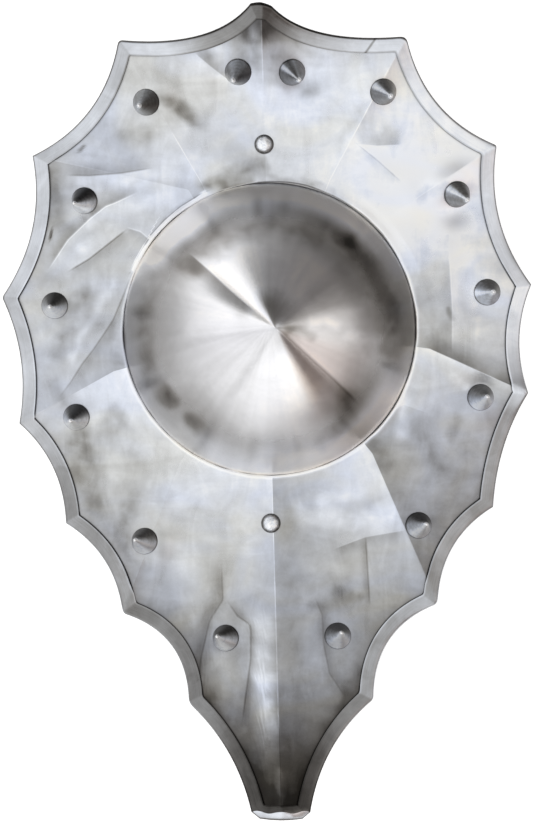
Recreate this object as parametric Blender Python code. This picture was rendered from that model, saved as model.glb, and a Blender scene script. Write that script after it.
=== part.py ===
"""Long steel buckler with scalloped edges, a peaked boss and fourteen spikes.

It lies on its back, front up, with the narrow end towards -Y. All shapes are worked
out in a frame with the boss's axis on Z and the plate's front face at the boss at
height zero. An empty then sets the whole so that it stands on the floor, centred.
Units are metres and degrees.
"""
import math
from collections import namedtuple

import bmesh
import bpy
from mathutils import Vector
from mathutils.geometry import delaunay_2d_cdt

# Overall sizes
LENGTH = 0.548
WIDTH = 0.366
SHEET = 0.0015
FIT_GAP = 0.0003

# Edging strip, folded round the plate's edge
RIM_WIDTH = 0.0098
RIM_SHEET = 0.0012
NOSE_FLAT = 0.45

# Boss: a cone and a dome added up, with its peak off the axis
BOSS_DIAMETER = 0.200
BOSS_SHEET = 0.0015
CONE_RISE = 0.036
DOME_RISE = 0.040
DOME_POWER = 4
PEAK_ACROSS = 0.0045
PEAK_ALONG = -0.0018
PEAK_ROUNDING = 0.05
FLANGE_WIDTH = 0.0075
BOSS_OPENING_GAP = 0.0013

# Relief of the plate
REST_DROP = 0.0115
FLARE = 1.6
WEB_POWER = 3
FLAT_MARGIN = 0.002

# Spikes
SPIKE_DIAMETER = 0.0183
SPIKE_HEIGHT = 0.027
SPIKE_TIP_RADIUS = 0.0012
SPIKE_FOOT_BAND = 0.0006
SPIKE_SHANK_DIAMETER = 0.006
SPIKE_PEEN_DIAMETER = 0.011
PEEN_HEIGHT = 0.0022
PEEN_CROWN = 0.65
SEAT_MARGIN = 0.0014

# Rivets that hold the grip
RIVET_HEAD_DIAMETER = 0.0134
RIVET_HEAD_HEIGHT = 0.0048
RIVET_SHANK_DIAMETER = 0.005
RIVET_PEEN_DIAMETER = 0.010
TOP_RIVET_FROM_FLANGE = 0.0182
BOTTOM_RIVET_FROM_FLANGE = 0.0245
TOP_RIVET_BEARING = 91.7
BOTTOM_RIVET_BEARING = 270.4

# Grip: a flat bar across the back of the boss
GRIP_WIDTH = 0.022
GRIP_PAD_WIDTH = 0.028
GRIP_THICKNESS = 0.004
GRIP_HAND_LENGTH = 0.110
GRIP_EDGE = 0.0008
PAD_REACH = 0.012
PAD_END_ANGLES = (0, 30, 60, 81)
JOGGLE_RUN = 0.003

# Fineness of the facets
EDGE_STEPS = 5
END_STEPS = 2
BOSS_SIDES = 40
BOSS_RING_SHARES = (0.0, 0.06, 0.16, 0.32, 0.5, 0.66, 0.79, 0.9, 1.0)
SMALL_SIDES = 12
RIDGE_STEPS = 5
FILL_SHARES = (0.3, 0.62)
MERGE_REACH = 1e-6
SLOPE_STEP = 0.001
BOSS_SMOOTH_ANGLE = 25
SMALL_SMOOTH_ANGLE = 40

BOSS_RADIUS = BOSS_DIAMETER / 2
FLANGE_RADIUS = BOSS_RADIUS + BOSS_OPENING_GAP + FLANGE_WIDTH
FLAT_RADIUS = FLANGE_RADIUS + FLAT_MARGIN
HOLE_RADIUS = BOSS_RADIUS + BOSS_OPENING_GAP
NOSE = RIM_SHEET + FIT_GAP
GRIP_LEVEL = -(SHEET + FIT_GAP + BOSS_SHEET + FIT_GAP)

# Each corner: its name, its place as shares of WIDTH and LENGTH from the boss's
# axis, and the hollow of the edge to the next corner, with its lean, as shares of
# that edge. They run from the top down the left side and up the right.
Corner = namedtuple("Corner", "name across along hollow lean")
CORNERS = (
    Corner("top_left", -0.0355, 0.3993, 0.112, -0.16),
    Corner("left_1", -0.2820, 0.3599, 0.127, 0.0),
    Corner("left_2", -0.4458, 0.2179, 0.103, 0.0),
    Corner("left_3", -0.5053, 0.0407, 0.079, 0.0),
    Corner("left_4", -0.4707, -0.1181, 0.105, 0.0),
    Corner("left_5", -0.3844, -0.2440, 0.119, 0.0),
    Corner("left_6", -0.2749, -0.3562, 0.179, 0.0),
    Corner("left_7", -0.1512, -0.4677, 0.081, 0.0),
    Corner("bottom_left", -0.0305, -0.6060, -0.016, 0.0),
    Corner("bottom_right", 0.0732, -0.6060, 0.099, 0.0),
    Corner("right_7", 0.1946, -0.4628, 0.171, 0.0),
    Corner("right_6", 0.3150, -0.3442, 0.134, 0.0),
    Corner("right_5", 0.4223, -0.2237, 0.061, 0.0),
    Corner("right_4", 0.4868, -0.0801, 0.094, 0.0),
    Corner("right_3", 0.4944, 0.0569, 0.105, 0.0),
    Corner("right_2", 0.4272, 0.2312, 0.128, 0.0),
    Corner("right_1", 0.2550, 0.3642, 0.096, 0.18),
    Corner("top_right", 0.0041, 0.3965, -0.070, 0.0),
)
ENDS = ("bottom_left", "top_right")

# Each ridge: the corners that it runs to, the bearing of its foot at the boss, its
# rise at the edge over the boss's level and how far the panel after it dips between
# its ridges, both as shares of LENGTH. A panel with a resting corner dips as far as
# that corner asks.
Ridge = namedtuple("Ridge", "corners foot rise dip rest")
RIDGES = (
    Ridge(("top_right", "top_left"), 91.5, 0.0620, 0.0055, None),
    Ridge(("left_1",), 115.0, 0.0210, 0.0036, None),
    Ridge(("left_2",), 120.0, -0.0064, None, "left_3"),
    Ridge(("left_4",), 195.0, -0.0082, None, "left_5"),
    Ridge(("left_6",), 236.0, 0.0018, 0.0100, None),
    Ridge(("bottom_left", "bottom_right"), 271.0, 0.0648, 0.0082, None),
    Ridge(("right_6",), 309.5, 0.0018, None, "right_5"),
    Ridge(("right_4",), 353.0, -0.0082, None, "right_3"),
    Ridge(("right_2",), 43.5, -0.0055, 0.0055, None),
    Ridge(("right_1",), 68.0, 0.0228, 0.0055, None),
)
FULL_TURN = 360

# Spikes, clockwise from the left side's top one: each one's place as shares of
# WIDTH and LENGTH from the boss's axis, and how far it leans across and along off
# square, as slopes, from being riveted on by hand
Spike = namedtuple("Spike", "across along lean_across lean_along")
SPIKES = (
    Spike(-0.2307, 0.2836, -0.06, -0.03),
    Spike(-0.0587, 0.3206, -0.07, -0.02),
    Spike(0.0420, 0.3203, 0.14, -0.02),
    Spike(0.2124, 0.2965, 0.04, -0.03),
    Spike(0.3522, 0.1697, 0.10, -0.17),
    Spike(0.4098, 0.0469, -0.08, -0.06),
    Spike(0.3967, -0.0854, 0.03, 0.15),
    Spike(0.2798, -0.2460, -0.06, 0.00),
    Spike(0.1278, -0.3841, 0.01, 0.07),
    Spike(-0.0819, -0.3867, -0.14, 0.03),
    Spike(-0.2342, -0.2657, 0.05, -0.02),
    Spike(-0.3631, -0.1102, -0.02, 0.04),
    Spike(-0.4043, 0.0301, 0.11, -0.10),
    Spike(-0.3478, 0.1619, -0.12, -0.13),
)

# A fixing through the plate: where it stands, its level, the way that it points
# and the sizes of its seat and hole
Fixing = namedtuple("Fixing", "place level normal seat_radius hole_radius")


def polar(radius, bearing):
    """Plan point at a distance and a bearing from the boss's axis."""
    angle = math.radians(bearing)
    return Vector((radius * math.cos(angle), radius * math.sin(angle)))


def bearing_of(point):
    return math.degrees(math.atan2(point.y, point.x)) % FULL_TURN


def turn_between(first, second):
    """Shorter turn from one bearing to another, counter-clockwise positive."""
    return (second - first + FULL_TURN / 2) % FULL_TURN - FULL_TURN / 2


def mix(first, second, share):
    return first + (second - first) * share


def corner_place(name):
    corner = next(each for each in CORNERS if each.name == name)
    return Vector((corner.across * WIDTH, corner.along * LENGTH))


def scalloped_outline():
    """Outer edge as seen from the front, and where each corner comes in it."""
    points = []
    where = {}
    for corner, following in zip(CORNERS, CORNERS[1:] + CORNERS[:1]):
        start = corner_place(corner.name)
        end = corner_place(following.name)
        chord = end - start
        inward = Vector((-chord.y, chord.x))
        bend = start + chord * (0.5 + corner.lean) + inward * 2 * corner.hollow
        where[corner.name] = len(points)
        steps = END_STEPS if corner.name in ENDS else EDGE_STEPS
        for step in range(steps):
            share = step / steps
            points.append(mix(mix(start, bend, share), mix(bend, end, share), share))
    return points, where


def mitres(points):
    """Inward vector at each point that moves both of its edges in by one."""
    vectors = []
    for index, point in enumerate(points):
        before = (point - points[index - 1]).normalized()
        after = (points[(index + 1) % len(points)] - point).normalized()
        first = Vector((-before.y, before.x))
        second = Vector((-after.y, after.x))
        vectors.append((first + second) / (1 + first.dot(second)))
    return vectors


def ridge_end(ridge):
    return sum((corner_place(name) for name in ridge.corners), Vector((0, 0))) / len(ridge.corners)


def pad_end(distance):
    """Where the plate starts to flare past the grip's end."""
    return FLANGE_RADIUS + distance + PAD_REACH + FLAT_MARGIN


def ridge_start(ridge):
    starts = {"top_right": pad_end(TOP_RIVET_FROM_FLANGE),
              "bottom_left": pad_end(BOTTOM_RIVET_FROM_FLANGE)}
    return starts.get(ridge.corners[0], FLAT_RADIUS)


def ridge_bearing(index, radius):
    """Bearing at a radius of a ridge, which runs straight from its foot to its corner."""
    ridge = RIDGES[index % len(RIDGES)]
    foot = polar(FLAT_RADIUS, ridge.foot)
    run = ridge_end(ridge) - foot
    toward = foot.dot(run) / run.length_squared
    beyond = (max(radius, FLAT_RADIUS) ** 2 - foot.length_squared) / run.length_squared
    return bearing_of(foot + run * (math.sqrt(toward ** 2 + beyond) - toward))


def ridge_level(index, radius):
    ridge = RIDGES[index % len(RIDGES)]
    start = ridge_start(ridge)
    share = (radius - start) / (ridge_end(ridge).length - start)
    return ridge.rise * LENGTH * max(share, 0) ** FLARE


def share_across(index, point):
    """Share of the way that a plan point is across a panel, from its first ridge."""
    low = ridge_bearing(index, point.length)
    high = ridge_bearing(index + 1, point.length)
    return turn_between(low, bearing_of(point)) / turn_between(low, high)


def panel_at(point):
    """Panel that a plan point lies in."""
    for index in range(len(RIDGES)):
        if 0 <= share_across(index, point) <= 1:
            return index
    return len(RIDGES) - 1


def web_growth(index, share, radius):
    """How much of its full dip a panel has, from none at its ridges and the boss."""
    across = 1 - abs(2 * share - 1) ** WEB_POWER
    first = RIDGES[index]
    second = RIDGES[(index + 1) % len(RIDGES)]
    start = mix(ridge_start(first), ridge_start(second), share)
    reach = mix(ridge_end(first).length, ridge_end(second).length, share)
    return across * max(radius - start, 0) / (reach - start)


def ridge_blend(index, share, radius):
    return mix(ridge_level(index, radius), ridge_level(index + 1, radius), share)


def panel_dip(index):
    ridge = RIDGES[index]
    if ridge.rest is None:
        return ridge.dip * LENGTH
    corner = corner_place(ridge.rest)
    share = share_across(index, corner)
    level = ridge_blend(index, share, corner.length)
    return (level + REST_DROP) / web_growth(index, share, corner.length)


def plate_level(point, panel=None):
    """Height of the plate's front over its level at the boss, or of one panel carried on."""
    index = panel_at(point) if panel is None else panel
    share = share_across(index, point)
    level = ridge_blend(index, share, point.length)
    return level - panel_dip(index) * web_growth(index, share, point.length)


def plate_normal(point, panel=None):
    """The plate's way out at a plan point, from the levels a short reach round it."""
    reach = 2 * SHEET
    across = Vector((reach, 0))
    along = Vector((0, reach))
    rise_across = plate_level(point + across, panel) - plate_level(point - across, panel)
    rise_along = plate_level(point + along, panel) - plate_level(point - along, panel)
    return Vector((-rise_across, -rise_along, 2 * reach)).normalized()


def spike_fixings():
    """Each spike's fixing, square to the panel that it stands on but for its lean."""
    fixings = []
    for spike in SPIKES:
        place = Vector((spike.across * WIDTH, spike.along * LENGTH))
        square = plate_normal(place, panel_at(place))
        normal = (square + Vector((spike.lean_across, spike.lean_along, 0)) * square.z).normalized()
        fixings.append(Fixing(place, plate_level(place), normal, SPIKE_DIAMETER / 2 + SEAT_MARGIN,
                              SPIKE_SHANK_DIAMETER / 2 + FIT_GAP))
    return fixings


def rivet_fixings():
    """The grip's two rivets, upright on the flat of the plate above and below the boss."""
    fixings = []
    for distance, bearing in ((TOP_RIVET_FROM_FLANGE, TOP_RIVET_BEARING),
                              (BOTTOM_RIVET_FROM_FLANGE, BOTTOM_RIVET_BEARING)):
        place = polar(FLANGE_RADIUS + distance, bearing)
        fixings.append(Fixing(place, 0.0, Vector((0, 0, 1)), RIVET_HEAD_DIAMETER / 2 + SEAT_MARGIN,
                              RIVET_SHANK_DIAMETER / 2 + FIT_GAP))
    return fixings


def seat_point(fixing, plan):
    """Point of a fixing's flat seat over a plan point."""
    offset = plan - fixing.place
    drop = (fixing.normal.x * offset.x + fixing.normal.y * offset.y) / fixing.normal.z
    return Vector((plan.x, plan.y, fixing.level - drop))


def seat_ring(fixing, radius):
    """Plan points of a circle drawn on the seat, square to the fixing."""
    side = fixing.normal.cross(Vector((0, 1, 0))).normalized()
    other = fixing.normal.cross(side)
    ring = []
    for step in range(SMALL_SIDES):
        angle = math.tau * step / SMALL_SIDES
        ring.append(fixing.place + (side * math.cos(angle) + other * math.sin(angle)).to_2d() * radius)
    return ring


def boss_ring(radius):
    return [polar(radius, FULL_TURN * step / BOSS_SIDES) for step in range(BOSS_SIDES)]


def inside(point, loop):
    """Whether a plan point lies within a closed loop of plan points."""
    within = False
    for start, end in zip(loop, loop[1:] + loop[:1]):
        if (start.y > point.y) != (end.y > point.y):
            crossing = mix(start.x, end.x, (point.y - start.y) / (end.y - start.y))
            if point.x < crossing:
                within = not within
    return within


class PlanMesh:
    """Plan points and the lines between them that the plate's facets keep to."""

    def __init__(self):
        self.points = []
        self.fixings = []
        self.lines = []

    def add(self, point, fixing=None):
        self.points.append(point)
        self.fixings.append(fixing)
        return len(self.points) - 1

    def add_loop(self, loop, fixing=None):
        indices = [self.add(point, fixing) for point in loop]
        self.lines += list(zip(indices, indices[1:] + indices[:1]))

    def clear_of_all(self, point, distance):
        return all((point - other).length > distance for other in self.points)


def clear_of_seats(point, fixings, margin):
    return all((point - each.place).length > each.seat_radius + margin for each in fixings)


def add_ridges(plan, rim_line, where, fixings):
    """Draw each ridge from the boss's flat to the edging, broken at the seats."""
    clearance = SHEET
    for number, ridge in enumerate(RIDGES):
        index = where[ridge.corners[-1]]
        if len(ridge.corners) > 1:
            index = (where[ridge.corners[0]] + END_STEPS // 2) % len(rim_line)
        end = rim_line[index]
        previous = None
        for step in range(1, RIDGE_STEPS + 1):
            radius = mix(FLAT_RADIUS, end.length, step / RIDGE_STEPS)
            point = polar(radius, ridge_bearing(number, radius))
            if not clear_of_seats(point, fixings, clearance):
                previous = None
                continue
            current = index if step == RIDGE_STEPS else plan.add(point)
            middle = None if previous is None else (plan.points[previous] + plan.points[current]) / 2
            if middle is not None and clear_of_seats(middle, fixings, clearance):
                plan.lines.append((previous, current))
            previous = current


def add_fill(plan, rim_line, fixings):
    """Points that carry the panels' curve between the boss and the edging."""
    spacing = RIM_WIDTH
    for edge in rim_line:
        for share in FILL_SHARES:
            radius = mix(FLAT_RADIUS, edge.length, share)
            point = polar(radius, bearing_of(edge))
            if clear_of_seats(point, fixings, spacing / 2) and plan.clear_of_all(point, spacing):
                plan.add(point)


def plate_facets(rim_line, where, fixings):
    """Triangles of the plate inside the edging's inner line, as plan points."""
    plan = PlanMesh()
    plan.add_loop(rim_line)
    hole = boss_ring(HOLE_RADIUS)
    plan.add_loop(hole)
    plan.add_loop(boss_ring(FLAT_RADIUS))
    openings = [hole]
    for fixing in fixings:
        plan.add_loop(seat_ring(fixing, fixing.seat_radius), fixing)
        opening = seat_ring(fixing, fixing.hole_radius)
        plan.add_loop(opening, fixing)
        openings.append(opening)
    add_ridges(plan, rim_line, where, fixings)
    add_fill(plan, rim_line, fixings)
    points, _, faces, sources, _, _ = delaunay_2d_cdt(plan.points, plan.lines, [], 0, MERGE_REACH)
    owners = [plan.fixings[source[0]] if source else None for source in sources]
    kept = []
    for face in faces:
        centre = sum((points[index] for index in face), Vector((0, 0))) / 3
        if inside(centre, rim_line) and not any(inside(centre, loop) for loop in openings):
            kept.append(tuple(face))
    first = {source[0]: index for index, source in enumerate(sources) if source}
    return points, owners, kept, [first[index] for index in range(len(rim_line))]


def front_and_normal(plan, fixing=None):
    """Point of the plate's front over a plan point, and the plate's way out there."""
    if fixing is not None:
        return seat_point(fixing, plan), fixing.normal
    return Vector((plan.x, plan.y, plate_level(plan))), plate_normal(plan)


def steel(name, colour, roughness):
    material = bpy.data.materials.new(name)
    material.use_nodes = True
    shader = material.node_tree.nodes["Principled BSDF"]
    shader.inputs["Base Color"].default_value = (*colour, 1)
    shader.inputs["Metallic"].default_value = 1.0
    shader.inputs["Roughness"].default_value = roughness
    return material


def add_object(name, mesh_shape, frame, material, smooth_angle=None):
    """Turn a bmesh into a named object under the frame, with its faces pointing out."""
    bmesh.ops.recalc_face_normals(mesh_shape, faces=mesh_shape.faces)
    mesh = bpy.data.meshes.new(name)
    mesh_shape.to_mesh(mesh)
    mesh_shape.free()
    mesh.materials.append(material)
    if smooth_angle is not None:
        mesh.shade_smooth()
        mesh.set_sharp_from_angle(angle=math.radians(smooth_angle))
    return place_object(name, mesh, frame)


def place_object(name, mesh, frame):
    thing = bpy.data.objects.new(name, mesh)
    bpy.context.collection.objects.link(thing)
    thing.parent = frame
    return thing


def add_plate(frame, outline, inward, rim_line, where, fixings):
    """Creased sheet with holes for the boss, the spikes' shanks and the rivets."""
    points, owners, facets, rim_indices = plate_facets(rim_line, where, fixings)
    shape = bmesh.new()
    fronts = []
    backs = []
    for plan, fixing in zip(points, owners):
        front, normal = front_and_normal(plan, fixing)
        fronts.append(shape.verts.new(front))
        backs.append(shape.verts.new(front - normal * SHEET))
    edge_fronts = []
    edge_backs = []
    for plan, vector in zip(outline, inward):
        front, normal = front_and_normal(plan + vector * NOSE)
        edge_fronts.append(shape.verts.new(front))
        edge_backs.append(shape.verts.new(front - normal * SHEET))
    for face in facets:
        shape.faces.new([fronts[index] for index in face])
        shape.faces.new([backs[index] for index in reversed(face)])
    add_band(shape, edge_fronts, [fronts[index] for index in rim_indices])
    add_band(shape, edge_backs, [backs[index] for index in rim_indices])
    add_band(shape, edge_fronts, edge_backs)
    back_of = dict(zip(fronts, backs))
    for edge in [each for each in shape.edges if len(each.link_faces) == 1]:
        first, second = edge.verts
        if first in back_of and second in back_of:
            shape.faces.new((first, second, back_of[second], back_of[first]))
    return add_object("plate", shape, frame, steel("plate_steel", (0.62, 0.63, 0.65), 0.28))


def add_band(shape, first_ring, second_ring):
    """Triangles between two closed rings, each square split the same way."""
    count = len(first_ring)
    for index in range(count):
        after = (index + 1) % count
        corners = (first_ring[index], first_ring[after], second_ring[after], second_ring[index])
        shape.faces.new(corners[:3])
        shape.faces.new((corners[0], corners[2], corners[3]))


def rim_section(plan, vector):
    """Points of the edging strip's folded section, round from its front inner edge."""
    inner, inner_normal = front_and_normal(plan + vector * RIM_WIDTH)
    edge, normal = front_and_normal(plan + vector * NOSE)
    out = Vector((-vector.x, -vector.y, 0))
    middle = edge - normal * SHEET / 2
    half = SHEET / 2 + FIT_GAP + RIM_SHEET
    return (
        inner + inner_normal * (FIT_GAP + RIM_SHEET),
        inner + inner_normal * FIT_GAP,
        edge + normal * FIT_GAP + out * FIT_GAP,
        edge - normal * (SHEET + FIT_GAP) + out * FIT_GAP,
        inner - inner_normal * (SHEET + FIT_GAP),
        inner - inner_normal * (SHEET + FIT_GAP + RIM_SHEET),
        middle - normal * half,
        middle - normal * half * NOSE_FLAT + out * NOSE,
        middle + normal * half * NOSE_FLAT + out * NOSE,
        middle + normal * half,
    )


def add_rim(frame, outline, inward):
    """Edging strip, one closed loop of folded sheet round the plate's edge."""
    shape = bmesh.new()
    sections = map(rim_section, outline, inward)
    rings = [[shape.verts.new(point) for point in ring] for ring in zip(*sections)]
    # The front leg's inside splits as the plate's front does, so that it clears it
    front_leg_inside = 1
    for index, ring in enumerate(rings):
        following = rings[(index + 1) % len(rings)]
        if index == front_leg_inside:
            ring, following = following, ring
        add_band(shape, ring, following)
    return add_object("rim_binding", shape, frame, steel("rim_steel", (0.55, 0.56, 0.58), 0.3))


def turned_shape(profile, sides, shift_of=None):
    """Closed turned solid from a profile of (radius, height) that ends on the axis."""
    shape = bmesh.new()
    rings = []
    for radius, height in profile:
        shift = shift_of(height) if shift_of else Vector((0, 0))
        if radius == 0:
            rings.append([shape.verts.new((shift.x, shift.y, height))])
            continue
        ring = [polar(radius, FULL_TURN * step / sides) + shift for step in range(sides)]
        rings.append([shape.verts.new((point.x, point.y, height)) for point in ring])
    for first, second in zip(rings, rings[1:]):
        for step in range(sides):
            after = (step + 1) % sides
            corners = {id(vertex): vertex for vertex in (
                first[step % len(first)], first[after % len(first)],
                second[after % len(second)], second[step % len(second)])}
            shape.faces.new(corners.values())
    return shape


def boss_height(share):
    """Boss's outer height over the plate at a share of its radius."""
    blunt = math.hypot(share, PEAK_ROUNDING) - PEAK_ROUNDING
    full = math.hypot(1, PEAK_ROUNDING) - PEAK_ROUNDING
    return CONE_RISE * (1 - blunt / full) + DOME_RISE * (1 - share ** DOME_POWER)


def boss_profile():
    """Outer and inner faces of the boss and its flange, from peak to peak."""
    outer = [(share * BOSS_RADIUS, boss_height(share)) for share in BOSS_RING_SHARES]
    inner = [(0.0, boss_height(0) - BOSS_SHEET)]
    for share in BOSS_RING_SHARES[1:]:
        run = 2 * SLOPE_STEP * BOSS_RADIUS
        fall = boss_height(share - SLOPE_STEP) - boss_height(share + SLOPE_STEP)
        slant = math.hypot(run, fall)
        inner.append((share * BOSS_RADIUS - BOSS_SHEET * fall / slant,
                      boss_height(share) - BOSS_SHEET * run / slant))
    seat = -(SHEET + FIT_GAP)
    root = BOSS_RADIUS - seat * BOSS_RADIUS / (CONE_RISE + DOME_POWER * DOME_RISE)
    flange = [(root, seat), (FLANGE_RADIUS, seat), (FLANGE_RADIUS, seat - BOSS_SHEET),
              (root - BOSS_SHEET, seat - BOSS_SHEET)]
    return outer + flange + inner[::-1]


def add_boss(frame):
    """Hollow peaked boss whose flange lies behind the plate round its opening."""
    def shift_of(height):
        return Vector((PEAK_ACROSS, PEAK_ALONG)) * max(height, 0) / boss_height(0)
    shape = turned_shape(boss_profile(), BOSS_SIDES, shift_of)
    finish = steel("boss_steel", (0.5, 0.48, 0.46), 0.25)
    return add_object("boss", shape, frame, finish, BOSS_SMOOTH_ANGLE)


def peened_end(shank_radius, head_radius, depth):
    """Shank and hammered-over end behind the face at a depth, as a profile."""
    return [(shank_radius, -depth), (head_radius, -depth),
            (head_radius * PEEN_CROWN, -depth - PEEN_HEIGHT), (0.0, -depth - PEEN_HEIGHT)]


def add_spikes(frame, fixings):
    """Turned cones, each with a shank through the plate, hammered over behind."""
    radius = SPIKE_DIAMETER / 2
    shank = SPIKE_SHANK_DIAMETER / 2
    tip = SPIKE_TIP_RADIUS
    round_over = math.pi / 4
    profile = [(0.0, SPIKE_HEIGHT),
               (tip * math.sin(round_over), SPIKE_HEIGHT - tip * (1 - math.cos(round_over))),
               (tip, SPIKE_HEIGHT - tip), (radius, FIT_GAP + SPIKE_FOOT_BAND),
               (radius, FIT_GAP), (shank, FIT_GAP)]
    profile += peened_end(shank, SPIKE_PEEN_DIAMETER / 2, SHEET + FIT_GAP)
    polished = steel("spike_steel", (0.42, 0.41, 0.4), 0.15)
    mesh = None
    for number, fixing in enumerate(fixings, start=1):
        name = f"spike_{number:02d}"
        if mesh is None:
            shape = turned_shape(profile, SMALL_SIDES)
            spike = add_object(name, shape, frame, polished, SMALL_SMOOTH_ANGLE)
            mesh = spike.data
        else:
            spike = place_object(name, mesh, frame)
        spike.location = seat_point(fixing, fixing.place)
        spike.rotation_mode = "QUATERNION"
        spike.rotation_quaternion = Vector((0, 0, 1)).rotation_difference(fixing.normal)


def add_rivets(frame, fixings):
    """Two domed rivets through the plate and the grip's ends."""
    radius = RIVET_HEAD_DIAMETER / 2
    shank = RIVET_SHANK_DIAMETER / 2
    dome = [(radius * math.sin(angle), FIT_GAP + RIVET_HEAD_HEIGHT * math.cos(angle))
            for angle in (0.0, math.pi / 8, math.pi / 4, math.pi * 3 / 8, math.pi / 2)]
    depth = SHEET + FIT_GAP + GRIP_THICKNESS + FIT_GAP
    profile = dome + [(shank, FIT_GAP)] + peened_end(shank, RIVET_PEEN_DIAMETER / 2, depth)
    finish = steel("rivet_steel", (0.58, 0.58, 0.58), 0.35)
    for name, fixing in zip(("rivet_top", "rivet_bottom"), fixings):
        shape = turned_shape(profile, SMALL_SIDES)
        rivet = add_object(name, shape, frame, finish, SMALL_SMOOTH_ANGLE)
        rivet.location = (fixing.place.x, fixing.place.y, fixing.level)


def grip_stations(fixings):
    """Places along the grip: distance from the boss's axis, level and width."""
    pad_level = -(SHEET + FIT_GAP)
    hand = GRIP_HAND_LENGTH / 2
    shoulder = hand + GRIP_WIDTH / 2
    half = [(hand, GRIP_LEVEL, GRIP_WIDTH), (shoulder, GRIP_LEVEL, GRIP_PAD_WIDTH),
            (FLANGE_RADIUS + 2 * FIT_GAP, GRIP_LEVEL, GRIP_PAD_WIDTH),
            (FLANGE_RADIUS + 2 * FIT_GAP + JOGGLE_RUN, pad_level, GRIP_PAD_WIDTH)]
    stations = []
    for side, fixing in zip((1, -1), fixings):
        distance = fixing.place.length
        rounded = [(distance + PAD_REACH * math.sin(angle), pad_level, GRIP_PAD_WIDTH * math.cos(angle))
                   for angle in map(math.radians, PAD_END_ANGLES)]
        for along, level, width in half + rounded:
            stations.append((side * along, level, width))
    return sorted(stations)


def grip_section(width, level, height):
    """Section of the bar: a rectangle with its long edges broken."""
    half = width / 2
    edge = min(GRIP_EDGE, half / 2)
    low = level - height
    return ((half - edge, level), (-half + edge, level), (-half, level - edge), (-half, low + edge),
            (-half + edge, low), (half - edge, low), (half, low + edge), (half, level - edge))


def add_cutter(name, fixing, frame):
    """Upright pin that cuts a rivet's hole through the grip."""
    depth = 3 * GRIP_THICKNESS
    pin = [(0.0, 0.0), (fixing.hole_radius, 0.0), (fixing.hole_radius, -depth), (0.0, -depth)]
    cutter = add_object(name, turned_shape(pin, SMALL_SIDES), frame, steel("cutter", (1, 0, 0), 1))
    cutter.location = (fixing.place.x, fixing.place.y, fixing.level)
    cutter.hide_render = True
    cutter.display_type = "WIRE"
    return cutter


def add_grip(frame, fixings):
    """Flat bar across the boss, set back behind its flange, with a rivet at each end."""
    shape = bmesh.new()
    top, bottom = (fixing.place for fixing in fixings)
    axis = (top - bottom).normalized()
    side = Vector((axis.y, -axis.x))
    middle = top - axis * top.length
    rings = []
    for along, level, width in grip_stations(fixings):
        ring = []
        for across, height in grip_section(width, level, GRIP_THICKNESS):
            plan = middle + axis * along + side * across
            ring.append(shape.verts.new((plan.x, plan.y, height)))
        rings.append(ring)
    for first, second in zip(rings, rings[1:]):
        for index in range(len(first)):
            after = (index + 1) % len(first)
            shape.faces.new((first[index], first[after], second[after], second[index]))
    shape.faces.new(rings[0])
    shape.faces.new(rings[-1])
    grip = add_object("grip", shape, frame, steel("grip_steel", (0.3, 0.3, 0.3), 0.45))
    for number, fixing in enumerate(fixings, start=1):
        cut = grip.modifiers.new(f"rivet_hole_{number}", "BOOLEAN")
        cut.operation = "DIFFERENCE"
        cut.object = add_cutter(f"hole_cutter_{number}", fixing, frame)


def stand_on_floor(frame, rim):
    """Centre the shield over the origin and set its lowest corners on the floor."""
    corners = [Vector(corner) for corner in rim.bound_box]
    low = Vector(min(corner[axis] for corner in corners) for axis in range(3))
    high = Vector(max(corner[axis] for corner in corners) for axis in range(3))
    centre = (low + high) / 2
    frame.location = (-centre.x, -centre.y, -low.z)


def build():
    for thing in list(bpy.data.objects):
        bpy.data.objects.remove(thing, do_unlink=True)
    frame = bpy.data.objects.new("shield_frame", None)
    bpy.context.collection.objects.link(frame)
    outline, where = scalloped_outline()
    inward = mitres(outline)
    rim_line = [plan + vector * RIM_WIDTH for plan, vector in zip(outline, inward)]
    spikes = spike_fixings()
    rivets = rivet_fixings()
    add_plate(frame, outline, inward, rim_line, where, spikes + rivets)
    rim = add_rim(frame, outline, inward)
    add_boss(frame)
    add_spikes(frame, spikes)
    add_rivets(frame, rivets)
    add_grip(frame, rivets)
    bpy.context.view_layer.update()
    stand_on_floor(frame, rim)
    bpy.context.view_layer.update()


build()
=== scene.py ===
import math
from collections import namedtuple

import bpy
import numpy as np
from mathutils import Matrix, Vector, noise


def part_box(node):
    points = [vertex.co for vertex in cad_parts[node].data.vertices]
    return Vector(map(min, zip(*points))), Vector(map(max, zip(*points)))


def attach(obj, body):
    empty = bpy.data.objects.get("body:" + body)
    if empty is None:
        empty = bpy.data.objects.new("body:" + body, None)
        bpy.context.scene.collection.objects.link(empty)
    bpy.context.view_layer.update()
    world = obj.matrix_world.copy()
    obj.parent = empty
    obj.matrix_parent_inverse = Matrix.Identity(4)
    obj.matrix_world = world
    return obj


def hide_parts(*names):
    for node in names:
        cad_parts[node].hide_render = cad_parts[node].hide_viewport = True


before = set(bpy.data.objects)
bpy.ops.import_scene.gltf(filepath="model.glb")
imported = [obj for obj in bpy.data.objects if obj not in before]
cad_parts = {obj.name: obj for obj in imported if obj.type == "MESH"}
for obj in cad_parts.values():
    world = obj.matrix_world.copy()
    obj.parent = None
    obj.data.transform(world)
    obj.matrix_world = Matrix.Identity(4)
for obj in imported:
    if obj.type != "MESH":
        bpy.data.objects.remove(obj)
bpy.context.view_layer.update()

# Long steel buckler, lying on its back: a creased plate in a folded edging strip, a
# spun boss with its peak off centre, fourteen turned spikes, two rivets and a grip.
# The relief is worked out in a frame with the boss's axis on Z and the plate's front
# at the boss at height zero, and is then set at the hub. Metres and degrees.
MM = 0.001

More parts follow.
